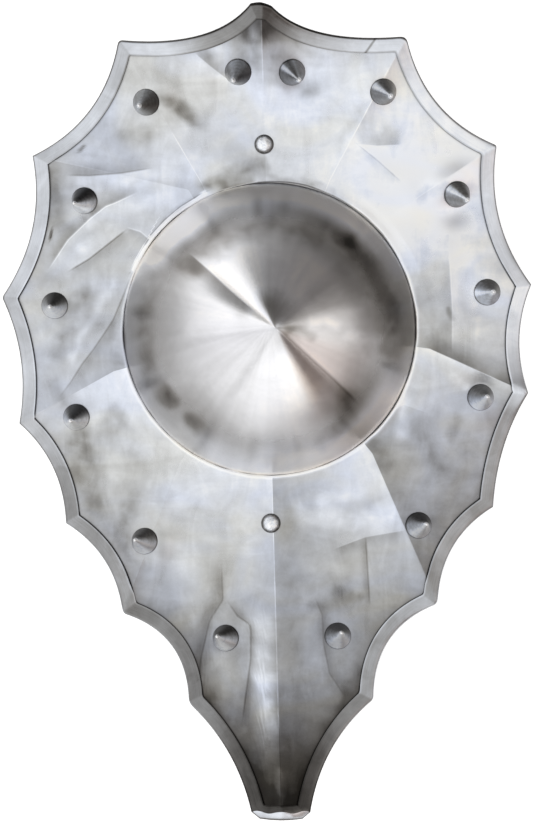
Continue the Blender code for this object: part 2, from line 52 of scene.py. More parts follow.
# Sizes that the solids have too
LENGTH = 548 * MM
WIDTH = 366 * MM
SHEET = 1.5 * MM
FIT_GAP = 0.3 * MM
RIM_WIDTH = 9.8 * MM
RIM_SHEET = 1.2 * MM
BOSS_RADIUS = 100 * MM
BOSS_SHEET = 1.5 * MM
BOSS_OPENING_GAP = 1.3 * MM
FLANGE_WIDTH = 7.5 * MM
CONE_RISE = 36 * MM
DOME_RISE = 40 * MM
DOME_POWER = 4
PEAK_SHIFT = np.array((4.5, -1.8)) * MM
PEAK_ROUNDING = 0.04
REST_DROP = 11.5 * MM
FLARE = 1.6
WEB_POWER = 3
FLAT_MARGIN = 2 * MM
SPIKE_DIAMETER = 18.3 * MM
SPIKE_HEIGHT = 27 * MM
SPIKE_TIP_RADIUS = 1.2 * MM
SPIKE_SHANK_DIAMETER = 6 * MM
SPIKE_PEEN_DIAMETER = 11 * MM
PEEN_HEIGHT = 2.2 * MM
RIVET_HEAD_DIAMETER = 13.4 * MM
RIVET_HEAD_HEIGHT = 4.8 * MM
RIVET_SHANK_DIAMETER = 5 * MM
RIVET_PEEN_DIAMETER = 10 * MM
TOP_RIVET_FROM_FLANGE = 18.2 * MM
BOTTOM_RIVET_FROM_FLANGE = 24.5 * MM
TOP_RIVET_BEARING = 91.7
BOTTOM_RIVET_BEARING = 270.4
PAD_REACH = 12 * MM
GRIP_WIDTH = 22 * MM
GRIP_PAD_WIDTH = 28 * MM
GRIP_THICKNESS = 4 * MM
GRIP_HAND_LENGTH = 110 * MM
JOGGLE_RUN = 3 * MM

FLANGE_RADIUS = BOSS_RADIUS + BOSS_OPENING_GAP + FLANGE_WIDTH
FLAT_RADIUS = FLANGE_RADIUS + FLAT_MARGIN
NOSE = RIM_SHEET + FIT_GAP
SPIKE_NAMES = [f"spike_{number:02d}" for number in range(1, 15)]

boss_low, boss_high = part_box("boss")
HUB = Vector(((boss_low.x + boss_high.x) / 2, (boss_low.y + boss_high.y) / 2,
              boss_low.z + SHEET + FIT_GAP + BOSS_SHEET))

# Corners of the outline, as shares of WIDTH and LENGTH from the boss's axis, and the
# hollow of the edge to the next corner, with its lean, as shares of that edge
Corner = namedtuple("Corner", "name across along hollow lean")
CORNERS = (
    Corner("top_left", -0.0355, 0.3993, 0.112, -0.16),
    Corner("left_1", -0.2820, 0.3599, 0.127, 0.0),
    Corner("left_2", -0.4458, 0.2179, 0.103, 0.0),
    Corner("left_3", -0.5053, 0.0407, 0.079, 0.0),
    Corner("left_4", -0.4707, -0.1181, 0.105, 0.0),
    Corner("left_5", -0.3844, -0.2440, 0.119, 0.0),
    Corner("left_6", -0.2749, -0.3562, 0.179, 0.0),
    Corner("left_7", -0.1512, -0.4677, 0.081, 0.0),
    Corner("bottom_left", -0.0305, -0.6060, -0.016, 0.0),
    Corner("bottom_right", 0.0732, -0.6060, 0.099, 0.0),
    Corner("right_7", 0.1946, -0.4628, 0.171, 0.0),
    Corner("right_6", 0.3150, -0.3442, 0.134, 0.0),
    Corner("right_5", 0.4223, -0.2237, 0.061, 0.0),
    Corner("right_4", 0.4868, -0.0801, 0.094, 0.0),
    Corner("right_3", 0.4944, 0.0569, 0.105, 0.0),
    Corner("right_2", 0.4272, 0.2312, 0.128, 0.0),
    Corner("right_1", 0.2550, 0.3642, 0.096, 0.18),
    Corner("top_right", 0.0041, 0.3965, -0.070, 0.0),
)
PLACES = {corner.name: np.array((corner.across * WIDTH, corner.along * LENGTH)) for corner in CORNERS}

# Ridges: the corners that each runs to, its foot's bearing, its rise and the dip of
# the panel after it as shares of LENGTH, or the corner that this panel rests on
Ridge = namedtuple("Ridge", "corners foot rise dip rest")
RIDGES = (
    Ridge(("top_right", "top_left"), 91.5, 0.0620, 0.0055, None),
    Ridge(("left_1",), 115.0, 0.0210, 0.0036, None),
    Ridge(("left_2",), 120.0, -0.0064, None, "left_3"),
    Ridge(("left_4",), 195.0, -0.0082, None, "left_5"),
    Ridge(("left_6",), 236.0, 0.0018, 0.0100, None),
    Ridge(("bottom_left", "bottom_right"), 271.0, 0.0648, 0.0082, None),
    Ridge(("right_6",), 309.5, 0.0018, None, "right_5"),
    Ridge(("right_4",), 353.0, -0.0082, None, "right_3"),
    Ridge(("right_2",), 43.5, -0.0055, 0.0055, None),
    Ridge(("right_1",), 68.0, 0.0228, 0.0055, None),
)


def bearing_of(points):
    return np.degrees(np.arctan2(points[..., 1], points[..., 0])) % 360


def turn_between(first, second):
    """Shorter turn from one bearing to another, counter-clockwise positive."""
    return (second - first + 180) % 360 - 180


def polar(radius, bearing):
    angle = np.radians(bearing)
    return np.stack((radius * np.cos(angle), radius * np.sin(angle)), axis=-1)


def mix(first, second, share):
    return first + (second - first) * share


def ease(share):
    """Smooth step from 0 to 1."""
    share = np.clip(share, 0, 1)
    return share * share * (3 - 2 * share)


def runs_along(line):
    """Distance passed at each point of a line."""
    return np.concatenate(((0,), np.cumsum(np.hypot(*np.diff(line, axis=0).T))))


def ridge_end(ridge):
    return sum(PLACES[name] for name in ridge.corners) / len(ridge.corners)


def ridge_reach(ridge):
    return float(np.hypot(*ridge_end(ridge)))


def ridge_start(ridge):
    """Distance from the axis where a ridge starts to rise, past the grip's pads."""
    rivets = {"top_right": TOP_RIVET_FROM_FLANGE, "bottom_left": BOTTOM_RIVET_FROM_FLANGE}
    if ridge.corners[0] in rivets:
        return FLANGE_RADIUS + rivets[ridge.corners[0]] + PAD_REACH + FLAT_MARGIN
    return FLAT_RADIUS


def ridge_bearing(index, radius):
    """Bearing at each radius of a ridge, which runs straight from its foot to its corner."""
    ridge = RIDGES[index % len(RIDGES)]
    foot = polar(FLAT_RADIUS, ridge.foot)
    run = ridge_end(ridge) - foot
    toward = foot @ run / (run @ run)
    beyond = (np.maximum(radius, FLAT_RADIUS) ** 2 - FLAT_RADIUS ** 2) / (run @ run)
    share = np.sqrt(toward ** 2 + beyond) - toward
    return bearing_of(foot + np.multiply.outer(share, run))


def ridge_level(index, radius):
    ridge = RIDGES[index % len(RIDGES)]
    start = ridge_start(ridge)
    return ridge.rise * LENGTH * np.maximum((radius - start) / (ridge_reach(ridge) - start), 0) ** FLARE


def share_across(index, radius, bearing):
    """Share of the way across a panel, from its first ridge to its second."""
    low = ridge_bearing(index, radius)
    return turn_between(low, bearing) / turn_between(low, ridge_bearing(index + 1, radius))


def web_growth(index, share, radius):
    first, second = RIDGES[index], RIDGES[(index + 1) % len(RIDGES)]
    start = mix(ridge_start(first), ridge_start(second), share)
    reach = mix(ridge_reach(first), ridge_reach(second), share)
    return (1 - np.abs(2 * share - 1) ** WEB_POWER) * np.maximum(radius - start, 0) / (reach - start)


def ridge_blend(index, share, radius):
    return mix(ridge_level(index, radius), ridge_level(index + 1, radius), share)


def panel_dip(index):
    ridge = RIDGES[index]
    if ridge.rest is None:
        return ridge.dip * LENGTH
    corner = PLACES[ridge.rest]
    radius = float(np.hypot(*corner))
    share = float(share_across(index, radius, bearing_of(corner)))
    return (ridge_blend(index, share, radius) + REST_DROP) / web_growth(index, share, radius)


def panels_of(points):
    """Panel of each plan point, its share across the panel and its distance from the axis."""
    radius = np.hypot(points[:, 0], points[:, 1])
    bearing = bearing_of(points)
    panel = np.full(len(points), -1)
    share = np.zeros(len(points))
    slack = 1e-6
    for index in range(len(RIDGES)):
        across = share_across(index, radius, bearing)
        here = (panel < 0) & (across > -slack) & (across < 1 + slack)
        panel[here] = index
        share[here] = np.clip(across[here], 0, 1)
    return panel, share, radius


def panel_level(points):
    """Height of the creased panels at plan points, as the solids have it."""
    panel, share, radius = panels_of(points)
    level = np.zeros(len(points))
    for index in range(len(RIDGES)):
        here = panel == index
        level[here] = (ridge_blend(index, share[here], radius[here])
                       - panel_dip(index) * web_growth(index, share[here], radius[here]))
    return level


# Folds and dents that the hammer left, as lines of places in millimetres from the
# boss's axis: how far each reaches to the left and to the right of its line, in
# millimetres, how high the line stands, or how deep it lies below zero, and how much
# painted light, or painted shade below zero, goes on the left, on the right and along
# the line itself, where the fold catches or loses the light. Some have no height and
# are only painted light and shade.
Fold = namedtuple("Fold", "line left right height tone_left tone_right tone_line")
FOLDS = (
    Fold(((-142, 106), (-124, 105.5), (-103, 107), (-78, 111)), 13, 8, 0.25, -0.11, 0.07, -0.10),
    Fold(((-140, 39), (-124, 48.4), (-109.4, 59.8), (-97, 69.5)), 14, 12, 0.6, 0.08, -0.10, -0.16),
    Fold(((-84, 60), (-93, 42), (-101, 22), (-107.7, 6), (-113, -2), (-121, -13.7), (-129, -24),
          (-137, -36.6), (-148, -51)), 11, 13, 0.5, -0.06, 0.05, -0.09),
    Fold(((58, 129), (75.6, 114.8), (91, 101)), 12, 9, 0.3, 0.05, -0.07, -0.08),
    Fold(((124, 74), (123.9, 45.7), (125.6, 13), (125.6, -20)), 11, 13, 0.3, 0.06, -0.08, 0.06),
    Fold(((-33, -158), (-32, -186), (-41, -200), (-47, -226), (-50, -256)), 5, 11, -0.35,
         -0.04, -0.12, -0.08),
    Fold(((30, -182), (36, -196), (37, -216), (41, -236), (53, -254)), 9, 5, -0.4, -0.12, -0.04, -0.06),
    Fold(((66, -141), (67.5, -165), (69, -191)), 5, 6, -0.35, -0.03, -0.13, -0.10),
    Fold(((-34, 95), (-22, 98), (-8, 101)), 7, 3, 0.1, -0.16, 0.1, 0.3),
    Fold(((-96.2, 38.9), (-89.9, 51.9), (-81.8, 63.9), (-72.1, 74.7), (-61.0, 84.0), (-48.7, 91.7),
          (-38.9, 96.2)), 3, 4, 0.0, -0.05, 0.3, -0.2),
)
CROSSING_FOLDS = (
    Fold(((-154, 39), (-139, 61.5), (-124, 76), (-112.8, 84.5), (-106, 87), (-89, 95)), 10, 15, 0.6,
         -0.13, 0.08, 0.12),
    Fold(((58, 127), (74, 126), (92, 127)), 11, 8, 0.15, -0.12, 0.04, 0.0),
    Fold(((42, -152), (66, -143), (95, -138)), 9, 9, -0.35, 0.05, -0.10, 0.0),
    Fold(((-31, -184), (-22, -197), (-13, -203), (-13, -226), (-19, -270)), 6, 7, -0.35, -0.16, -0.05, -0.10),
    Fold(((-52, 189), (-41, 180), (-26, 169)), 11, 8, 0.2, -0.13, 0.04, 0.0),
    Fold(((-99, 70), (-89, 67), (-79, 59)), 6, 9, 0.2, 0.04, -0.09, 0.08),
    Fold(((-128, -68), (-126, -80), (-125, -92)), 5, 7, -0.3, -0.06, -0.09, 0.0),
    Fold(((78, -60), (92, -52), (110, -58)), 12, 12, 0.2, 0.05, 0.0, 0.0),
    Fold(((101, -12.4), (110, -13.5), (140, -26.9), (174, -42)), 16, 6, 0.0, -0.26, 0.05, 0.0),
)
WAVE_LENGTH = 38 * MM
WAVE_HEIGHT = 0.28 * MM
HAMMER_LENGTH = 13 * MM
HAMMER_HEIGHT = 0.05 * MM
RELIEF_FADE = 22 * MM

# How a fold's side curves, the shares of its length over which its height and its tones
# fade at its ends, and how many millimetres a side's tone carries on past the line
FOLD_POWER = 1.6
HEIGHT_END_SHARE = 0.2
TONE_END_SHARE = 0.18
TONE_OVERLAP = 6


def line_places(points, line):
    """Distance of each plan point to a line, which side it is on and how far along, 0 to 1."""
    line = np.array(line, float)
    runs = np.hypot(*np.diff(line, axis=0).T)
    passed = runs_along(line)
    nearest = np.full(len(points), np.inf)
    side = np.zeros(len(points))
    along = np.zeros(len(points))
    for start, end, run, before in zip(line, line[1:], runs, passed):
        way = (end - start) / run
        offset = points - start
        share = np.clip(offset @ way / run, 0, 1)
        distance = np.hypot(*(offset - share[:, None] * run * way).T)
        closer = distance < nearest
        nearest[closer] = distance[closer]
        side[closer] = (way[0] * offset[:, 1] - way[1] * offset[:, 0])[closer]
        along[closer] = (before + share[closer] * run) / passed[-1]
    return nearest, side, along


def fade_at_ends(along, share):
    return ease(along / share) * ease((1 - along) / share)


def fold_height(points, fold):
    distance, side, along = line_places(points / MM, fold.line)
    spread = np.where(side > 0, fold.left, fold.right)
    rise = np.clip(1 - distance / spread, 0, 1) ** FOLD_POWER
    return fold.height * MM * rise * fade_at_ends(along, HEIGHT_END_SHARE)


def fold_marks(points, folds):
    """Nearest fold at plan points, for the material to draw its painted light and shade
    crisply.

    How far its line is, to the left positive, and the painted tones to its left, its right
    and along it.
    """
    found = np.zeros((len(points), 4))
    nearest = np.full(len(points), np.inf)
    for fold in folds:
        distance, side, along = line_places(points / MM, fold.line)
        distance = np.where(side > 0, distance, -distance)
        ends = fade_at_ends(along, TONE_END_SHARE)
        left = fold.tone_left * ease(1 - distance / np.where(distance > 0, fold.left, -TONE_OVERLAP))
        right = fold.tone_right * ease(1 - distance / np.where(distance > 0, TONE_OVERLAP, -fold.right))
        line = fold.tone_line * ease(1 - np.abs(distance) / TONE_OVERLAP)
        marks = np.column_stack((distance, left * ends, right * ends, line * ends))
        share = np.abs(distance) / np.where(distance > 0, fold.left, fold.right)
        closer = share < nearest
        nearest[closer] = share[closer]
        found[closer] = marks[closer]
    return found


def waves(points, length, seed, octaves=2):
    """Smooth random relief, from -1 to 1, with a wave length in metres."""
    places = points / length
    return np.array([noise.fractal(Vector((x, y, seed)), 1.0, 2.0, octaves) for x, y in places])


def hammered_level(points):
    """Height of the plate's front with its folds and hammer marks."""
    outside = ease((np.hypot(points[:, 0], points[:, 1]) - BOSS_RADIUS) / RELIEF_FADE)
    marks = waves(points, WAVE_LENGTH, seed=3.1) * WAVE_HEIGHT
    marks += waves(points, HAMMER_LENGTH, seed=8.7) * HAMMER_HEIGHT
    marks += sum(fold_height(points, fold) for fold in FOLDS + CROSSING_FOLDS)
    return panel_level(points) + marks * outside


def merged_points(node):
    """Places of a solid's own points, each once."""
    places = np.array([vertex.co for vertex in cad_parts[node].data.vertices])
    return np.unique(np.round(places, 6), axis=0)


Seat = namedtuple("Seat", "foot axis radius")


def spike_seat(node):
    """Foot of a spike on the plate's front, in the hub's frame, and the way it points."""
    places = merged_points(node)
    tip = Vector(places[places[:, 2].argmax()])
    axis = (tip - Vector(places.mean(axis=0))).normalized()
    return Seat(tip - axis * SPIKE_HEIGHT - HUB, axis, SPIKE_DIAMETER / 2)


def rivet_seat(distance, bearing):
    place = polar(FLANGE_RADIUS + distance, bearing)
    return Seat(Vector((place[0], place[1], 0)), Vector((0, 0, 1)), RIVET_HEAD_DIAMETER / 2)


SPIKE_SEATS = [spike_seat(name) for name in SPIKE_NAMES]
RIVET_SEATS = [rivet_seat(TOP_RIVET_FROM_FLANGE, TOP_RIVET_BEARING),
               rivet_seat(BOTTOM_RIVET_FROM_FLANGE, BOTTOM_RIVET_BEARING)]
END_LIP = 4.5 * MM
END_LIP_SLOPE = 0.75
END_LIP_WAVE = 0.7 * MM
END_LIP_HALF_WAVES = 5
SEAT_MARGIN = 0.3 * MM
SEAT_BLEND = 18 * MM
FALL_ROUNDING = 0.6


def end_lip(points):
    """How far points are past the line that the bottom end is bent down at."""
    start, end = PLACES["bottom_left"], PLACES["bottom_right"]
    run = end - start
    length = np.hypot(*run)
    offset = points - start
    along = offset @ run / length ** 2
    inset = (run[0] * offset[:, 1] - run[1] * offset[:, 0]) / length
    return END_LIP + END_LIP_WAVE * np.sin(along * END_LIP_HALF_WAVES * math.pi) - inset


def soft_fall(share):
    """Nearly straight fall from 1 to 0, rounded at both ends."""
    share = np.clip(share, 0, 1)
    return 1 - (share - np.sin(share * math.tau) * FALL_ROUNDING / math.tau)


def plate_level(points):
    """Height of the plate's front, which eases into the flat seat of each spike and rivet."""
    level = hammered_level(points) - END_LIP_SLOPE * np.maximum(end_lip(points), 0)
    for seat in SPIKE_SEATS + RIVET_SEATS:
        foot = np.array(seat.foot.xy)
        offset = points - foot
        distance = np.hypot(*offset.T)
        reach = seat.radius + SEAT_MARGIN
        around = distance < reach + SEAT_BLEND
        nearest = offset[around] * np.minimum(reach / np.maximum(distance[around], MM), 1)[:, None]
        slope = -np.array(seat.axis.xy) / seat.axis.z
        step = seat.foot.z + nearest @ slope - hammered_level(foot + nearest)
        level[around] += step * soft_fall((distance[around] - reach) / SEAT_BLEND)
    return level


# Edge of the shield: stations along the outline, each a line across the edging strip
STATION_SPACING = 1.5 * MM
FINE_STEPS = 400

# Corners that the hammer rounded off and how many times over, and those of the bottom
# end, which are cut off straight, each within so many stations to each side
CORNER_SOFTNESS = {"left_1": 4, "right_1": 8, "left_7": 6, "left_6": 3, "right_6": 3, "right_7": 2,
                   "left_3": 2, "right_2": 1}
OUTER_SPREAD = 4
INNER_SPREAD = 3
CUT_CORNERS = ("bottom_left", "bottom_right")
CUT_REACH = 3


def scallop(corner, following, steps):
    """Outer edge from a corner to the next one, and the way inward at each point."""
    start, end = PLACES[corner.name], PLACES[following.name]
    chord = end - start
    bend = start + chord * (0.5 + corner.lean) + np.array((-chord[1], chord[0])) * 2 * corner.hollow
    share = np.linspace(0, 1, steps)[:, None]
    points = mix(mix(start, bend, share), mix(bend, end, share), share)
    tangent = mix(bend - start, end - bend, share)
    tangent /= np.hypot(*tangent.T)[:, None]
    return points, np.stack((-tangent[:, 1], tangent[:, 0]), axis=1)


def crossing(line, origin, direction):
    """Where a line of points first crosses a ray, as a fractional index, or None."""
    side = direction[0] * (line[:, 1] - origin[1]) - direction[1] * (line[:, 0] - origin[0])
    change = np.nonzero(np.sign(side[1:]) != np.sign(side[:-1]))[0]
    if not len(change):
        return None
    index = change[0]
    return index + side[index] / (side[index] - side[index + 1])


def part_of_line(line, first, last, count):
    """Evenly spaced points of a line between two fractional indices."""
    runs = runs_along(line)
    index = np.arange(len(line))
    ends = np.interp((first, last), index, runs)
    passed = np.linspace(ends[0], ends[1], count)
    return np.stack([np.interp(passed, runs, line[:, axis]) for axis in (0, 1)], axis=1)


def edge_stations():
    """Outer and inner point of each station of the edging strip, and each corner's station."""
    curves = [scallop(corner, following, FINE_STEPS)
              for corner, following in zip(CORNERS, CORNERS[1:] + CORNERS[:1])]
    mitres = []
    for index, (points, inward) in enumerate(curves):
        before = curves[index - 1][1][-1]
        mitres.append((before + inward[0]) / (1 + before @ inward[0]))
    outer, inner, corners = [], [], {}
    for index, (points, inward) in enumerate(curves):
        offset = points + inward * RIM_WIDTH
        following = (index + 1) % len(curves)
        half = FINE_STEPS // 2
        first = crossing(offset[:half], points[0], mitres[index])
        last = crossing(offset[half:], points[-1], mitres[following])
        first = 0 if first is None else first
        last = FINE_STEPS - 1 if last is None else last + half
        length = np.hypot(*np.diff(points, axis=0).T).sum()
        count = int(round(length / STATION_SPACING)) + 1
        corners[CORNERS[index].name] = len(outer)
        outer.extend(part_of_line(points, 0, FINE_STEPS - 1, count)[:-1])
        inner.extend(part_of_line(offset, first, last, count)[:-1])
    return np.array(outer), np.array(inner), corners


def soften_corner(points, index, spread, times):
    """Round a closed line of points off at one corner, a little more each time."""
    count = len(points)
    around = (np.arange(count) - index + count // 2) % count - count // 2
    weight = np.clip(1 - np.abs(around) / spread, 0, 1)[:, None] / 2
    for _ in range(times):
        middle = (np.roll(points, 1, axis=0) + np.roll(points, -1, axis=0)) / 2
        points = mix(points, middle, weight)
    return points


def cut_corner(points, index, reach):
    """Cut a corner of a closed line of points straight off, so many points to each side."""
    around = (index + np.arange(-reach, reach + 1)) % len(points)
    share = np.linspace(0, 1, len(around))[:, None]
    points = points.copy()
    points[around] = mix(points[around[0]], points[around[-1]], share)
    return points


OUTER, INNER, STATION_OF = edge_stations()
for corner_name, softness in CORNER_SOFTNESS.items():
    OUTER = soften_corner(OUTER, STATION_OF[corner_name], OUTER_SPREAD, softness)
    INNER = soften_corner(INNER, STATION_OF[corner_name], INNER_SPREAD, 1)
for corner_name in CUT_CORNERS:
    OUTER = cut_corner(OUTER, STATION_OF[corner_name], CUT_REACH)


def deselect():
    bpy.ops.object.select_all(action="DESELECT")


def select(piece):
    deselect()
    piece.select_set(True)
    bpy.context.view_layer.objects.active = piece


def edit(piece):
    """Open one piece for editing with all of it selected."""
    select(piece)
    bpy.ops.object.mode_set(mode="EDIT")
    bpy.ops.mesh.select_all(action="SELECT")


def done():
    bpy.ops.object.mode_set(mode="OBJECT")


def points_of(piece):
    places = np.empty(len(piece.data.vertices) * 3)
    piece.data.vertices.foreach_get("co", places)
    return places.reshape(-1, 3)


def set_points(piece, places):
    piece.data.vertices.foreach_set("co", places.astype(np.float32).ravel())
    piece.data.update()


def store(piece, name, values):
    """Keep one, three or four numbers for each point, for the material to read."""
    values = np.asarray(values, np.float32)
    kind, field = {1: ("FLOAT", "value"), 3: ("FLOAT_VECTOR", "vector"),
                   4: ("FLOAT_COLOR", "color")}[values.size // len(values)]
    layer = piece.data.attributes.new(name, kind, "POINT")
    layer.data.foreach_set(field, values.ravel())


PLAINER = 0.6
MERGE_DISTANCE = 0.01 * MM


def make_plainer(piece, behind, tone):
    """Fade the marks on the points behind, which nobody polishes, into one tone."""
    for layer in piece.data.attributes:
        if layer.name == "shade":
            values = np.empty(len(behind), np.float32)
            layer.data.foreach_get("value", values)
            layer.data.foreach_set("value", mix(values, tone, PLAINER * behind).astype(np.float32))
        elif layer.name.endswith("folds"):
            values = np.empty((len(behind), 4), np.float32)
            layer.data.foreach_get("color", values.ravel())
            values[behind, 1:] *= 1 - PLAINER
            layer.data.foreach_set("color", values.ravel())


def grid(name, columns, rows):
    """Flat grid, and the column and row of each of its points."""
    deselect()
    bpy.ops.mesh.primitive_grid_add(x_subdivisions=columns, y_subdivisions=rows, size=1)
    piece = bpy.context.object
    piece.name = name
    piece.data.name = name
    places = points_of(piece)
    return (piece, np.rint((places[:, 0] + 0.5) * columns).astype(int),
            np.rint((places[:, 1] + 0.5) * rows).astype(int))


def apply_modifier(piece, kind, **settings):
    modifier = piece.modifiers.new(kind.lower(), kind)
    for name, value in settings.items():
        setattr(modifier, name, value)
    select(piece)
    bpy.ops.object.modifier_apply(modifier=modifier.name)


def merge(piece):
    edit(piece)
    bpy.ops.mesh.remove_doubles(threshold=MERGE_DISTANCE)
    done()


def face_out(piece):
    edit(piece)
    bpy.ops.mesh.normals_make_consistent(inside=False)
    done()


def smooth(piece, angle):
    select(piece)
    bpy.ops.object.shade_smooth_by_angle(angle=math.radians(angle))


def at_hub(places):
    return places + np.array(HUB)


def finish_piece(piece, material, slot, *nodes):
    """Give a piece its material and let it stand for its solid."""
    piece.data.materials.clear()
    piece.data.materials.append(material)
    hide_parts(*nodes)
    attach(piece, "root")
    return piece


# Plate, as columns that run out from the boss. Beside a crease stands one column, and
# then the even ones start, at these multiples of CREASE_SIDE, which is measured where
# the panel has this share of its width at the edge
CREASE_SIDE = 0.9 * MM
CREASE_COLUMN = 0.7
FIRST_EVEN_COLUMN = 1.6
CREASE_WIDTH_SHARE = 0.8
COLUMN_SPACING = 2.5 * MM
LEAST_COLUMNS = 4

# Rows of the lip at the boss: how far out each is in millimetres, and how far it falls
# off below the lip's crest as a share of its lift. The first rows also roll over.
LIP_ROWS = ((0.0, -0.9), (0.25, -0.35), (0.6, -0.08), (1.0, 0.0), (1.5, -0.04), (2.2, -0.2), (3.2, -0.36))
LIP_ROLL = 0.6 * MM
LIP_ROLL_ROWS = 3
LIP_SLOPE_SHARE = 0.5
LIP_SLOPE_REACH = 5 * MM

# Rows by the edging, in millimetres outward from its inner line, with one under it
RIM_ROWS = (-3.2, -2.2, -1.5, -1.1, -0.8, -0.5, -0.1, 1.5)
PANEL_ROWS = 72
LEAST_SLANT = 0.35
PLATE_BACK_TONE = 0.66


def plate_columns():
    """Panel and share across it of each column of the plate's mesh, creases included."""
    columns = []
    for index in range(len(RIDGES)):
        reach = (ridge_reach(RIDGES[index]) + ridge_reach(RIDGES[(index + 1) % len(RIDGES)])) / 2
        turn = turn_between(ridge_bearing(index, reach), ridge_bearing(index + 1, reach))
        width = math.radians(float(turn)) * reach
        side = CREASE_SIDE / (width * CREASE_WIDTH_SHARE)
        first = side * FIRST_EVEN_COLUMN
        even_shares = np.linspace(first, 1 - first, max(int(width / COLUMN_SPACING), LEAST_COLUMNS))
        beside = side * CREASE_COLUMN
        shares = np.concatenate(((0, beside), even_shares, (1 - beside,)))
        columns.extend((index, share) for share in shares)
    return columns + [(0, 0.0)]


def panel_parameter(points):
    """Turn round the shield counted in panels, the same along each column."""
    panel, share = panels_of(points)[:2]
    return panel + share


def column_reach(line, columns):
    """Distance from the axis at which each column crosses a closed line of points."""
    turn = panel_parameter(line)
    radius = np.hypot(line[:, 0], line[:, 1])
    order = np.argsort(turn)
    wanted = np.array([index + share for index, share in columns]) % len(RIDGES)
    return np.interp(wanted, turn[order], radius[order], period=len(RIDGES))


def column_point(columns, column, radius):
    """Plan points at given distances from the axis along given columns."""
    panels, shares = np.array(columns).T
    points = np.zeros((len(column), 2))
    for index in range(len(RIDGES)):
        here = panels[column] == index
        low = ridge_bearing(index, radius[here])
        turn = turn_between(low, ridge_bearing(index + 1, radius[here]))
        points[here] = polar(radius[here], mix(low, low + turn, shares[column[here]]))
    return points


# Opening round the boss: bearing, how far round it goes to each side, how much wider
# the gap is there and how much the plate's lip stands up, in millimetres
Lip = namedtuple("Lip", "bearing spread gap lift")
LIPS = (
    Lip(138, 34, 0.1, 1.3),
    Lip(78, 34, 1.5, 0.3),
    Lip(45, 24, 0.9, 0.4),
    Lip(5, 40, 0.3, 0.5),
    Lip(322, 34, 0.7, 0.9),
    Lip(285, 22, 0.1, 1.0),
    Lip(242, 36, 0.0, 0.9),
    Lip(190, 36, 0.2, 0.6),
)
TIGHT_GAP = 0.3 * MM
GAP_WANDER = 0.25 * MM
LIFT_WANDER = 0.6
WANDER_RATE = 9

# Painted highlight and shade on the lip, by bearing, and the share of it that each row gets
LIP_HIGHLIGHT_SHARES = (0.3, 1, 1, 0.9, 0.6, 0.2, 0)
LIP_HIGHLIGHT_TONES = ((108, -0.1), (115, 0.0), (121, 0.42), (140, 0.45), (165, 0.3), (185, 0.08), (203, 0.3),
             (265, 0.34), (285, 0.40), (332, 0.40), (345, 0.25), (20, 0.25), (45, 0.20), (60, -0.08),
             (84, -0.15), (95, 0.0))


def lip_values(bearing):
    """Gap round the boss and lift of the plate's lip at each bearing."""
    gap = np.full(len(bearing), TIGHT_GAP)
    lift = np.zeros(len(bearing))
    for lip in LIPS:
        weight = ease(1 - np.abs(turn_between(bearing, lip.bearing)) / lip.spread)
        gap += weight * lip.gap * MM
        lift += weight * lip.lift * MM
    wander = np.array([noise.noise(Vector((x, y, 0.5))) for x, y in polar(WANDER_RATE, bearing)])
    return gap + wander * GAP_WANDER, lift * (1 + wander * LIFT_WANDER)


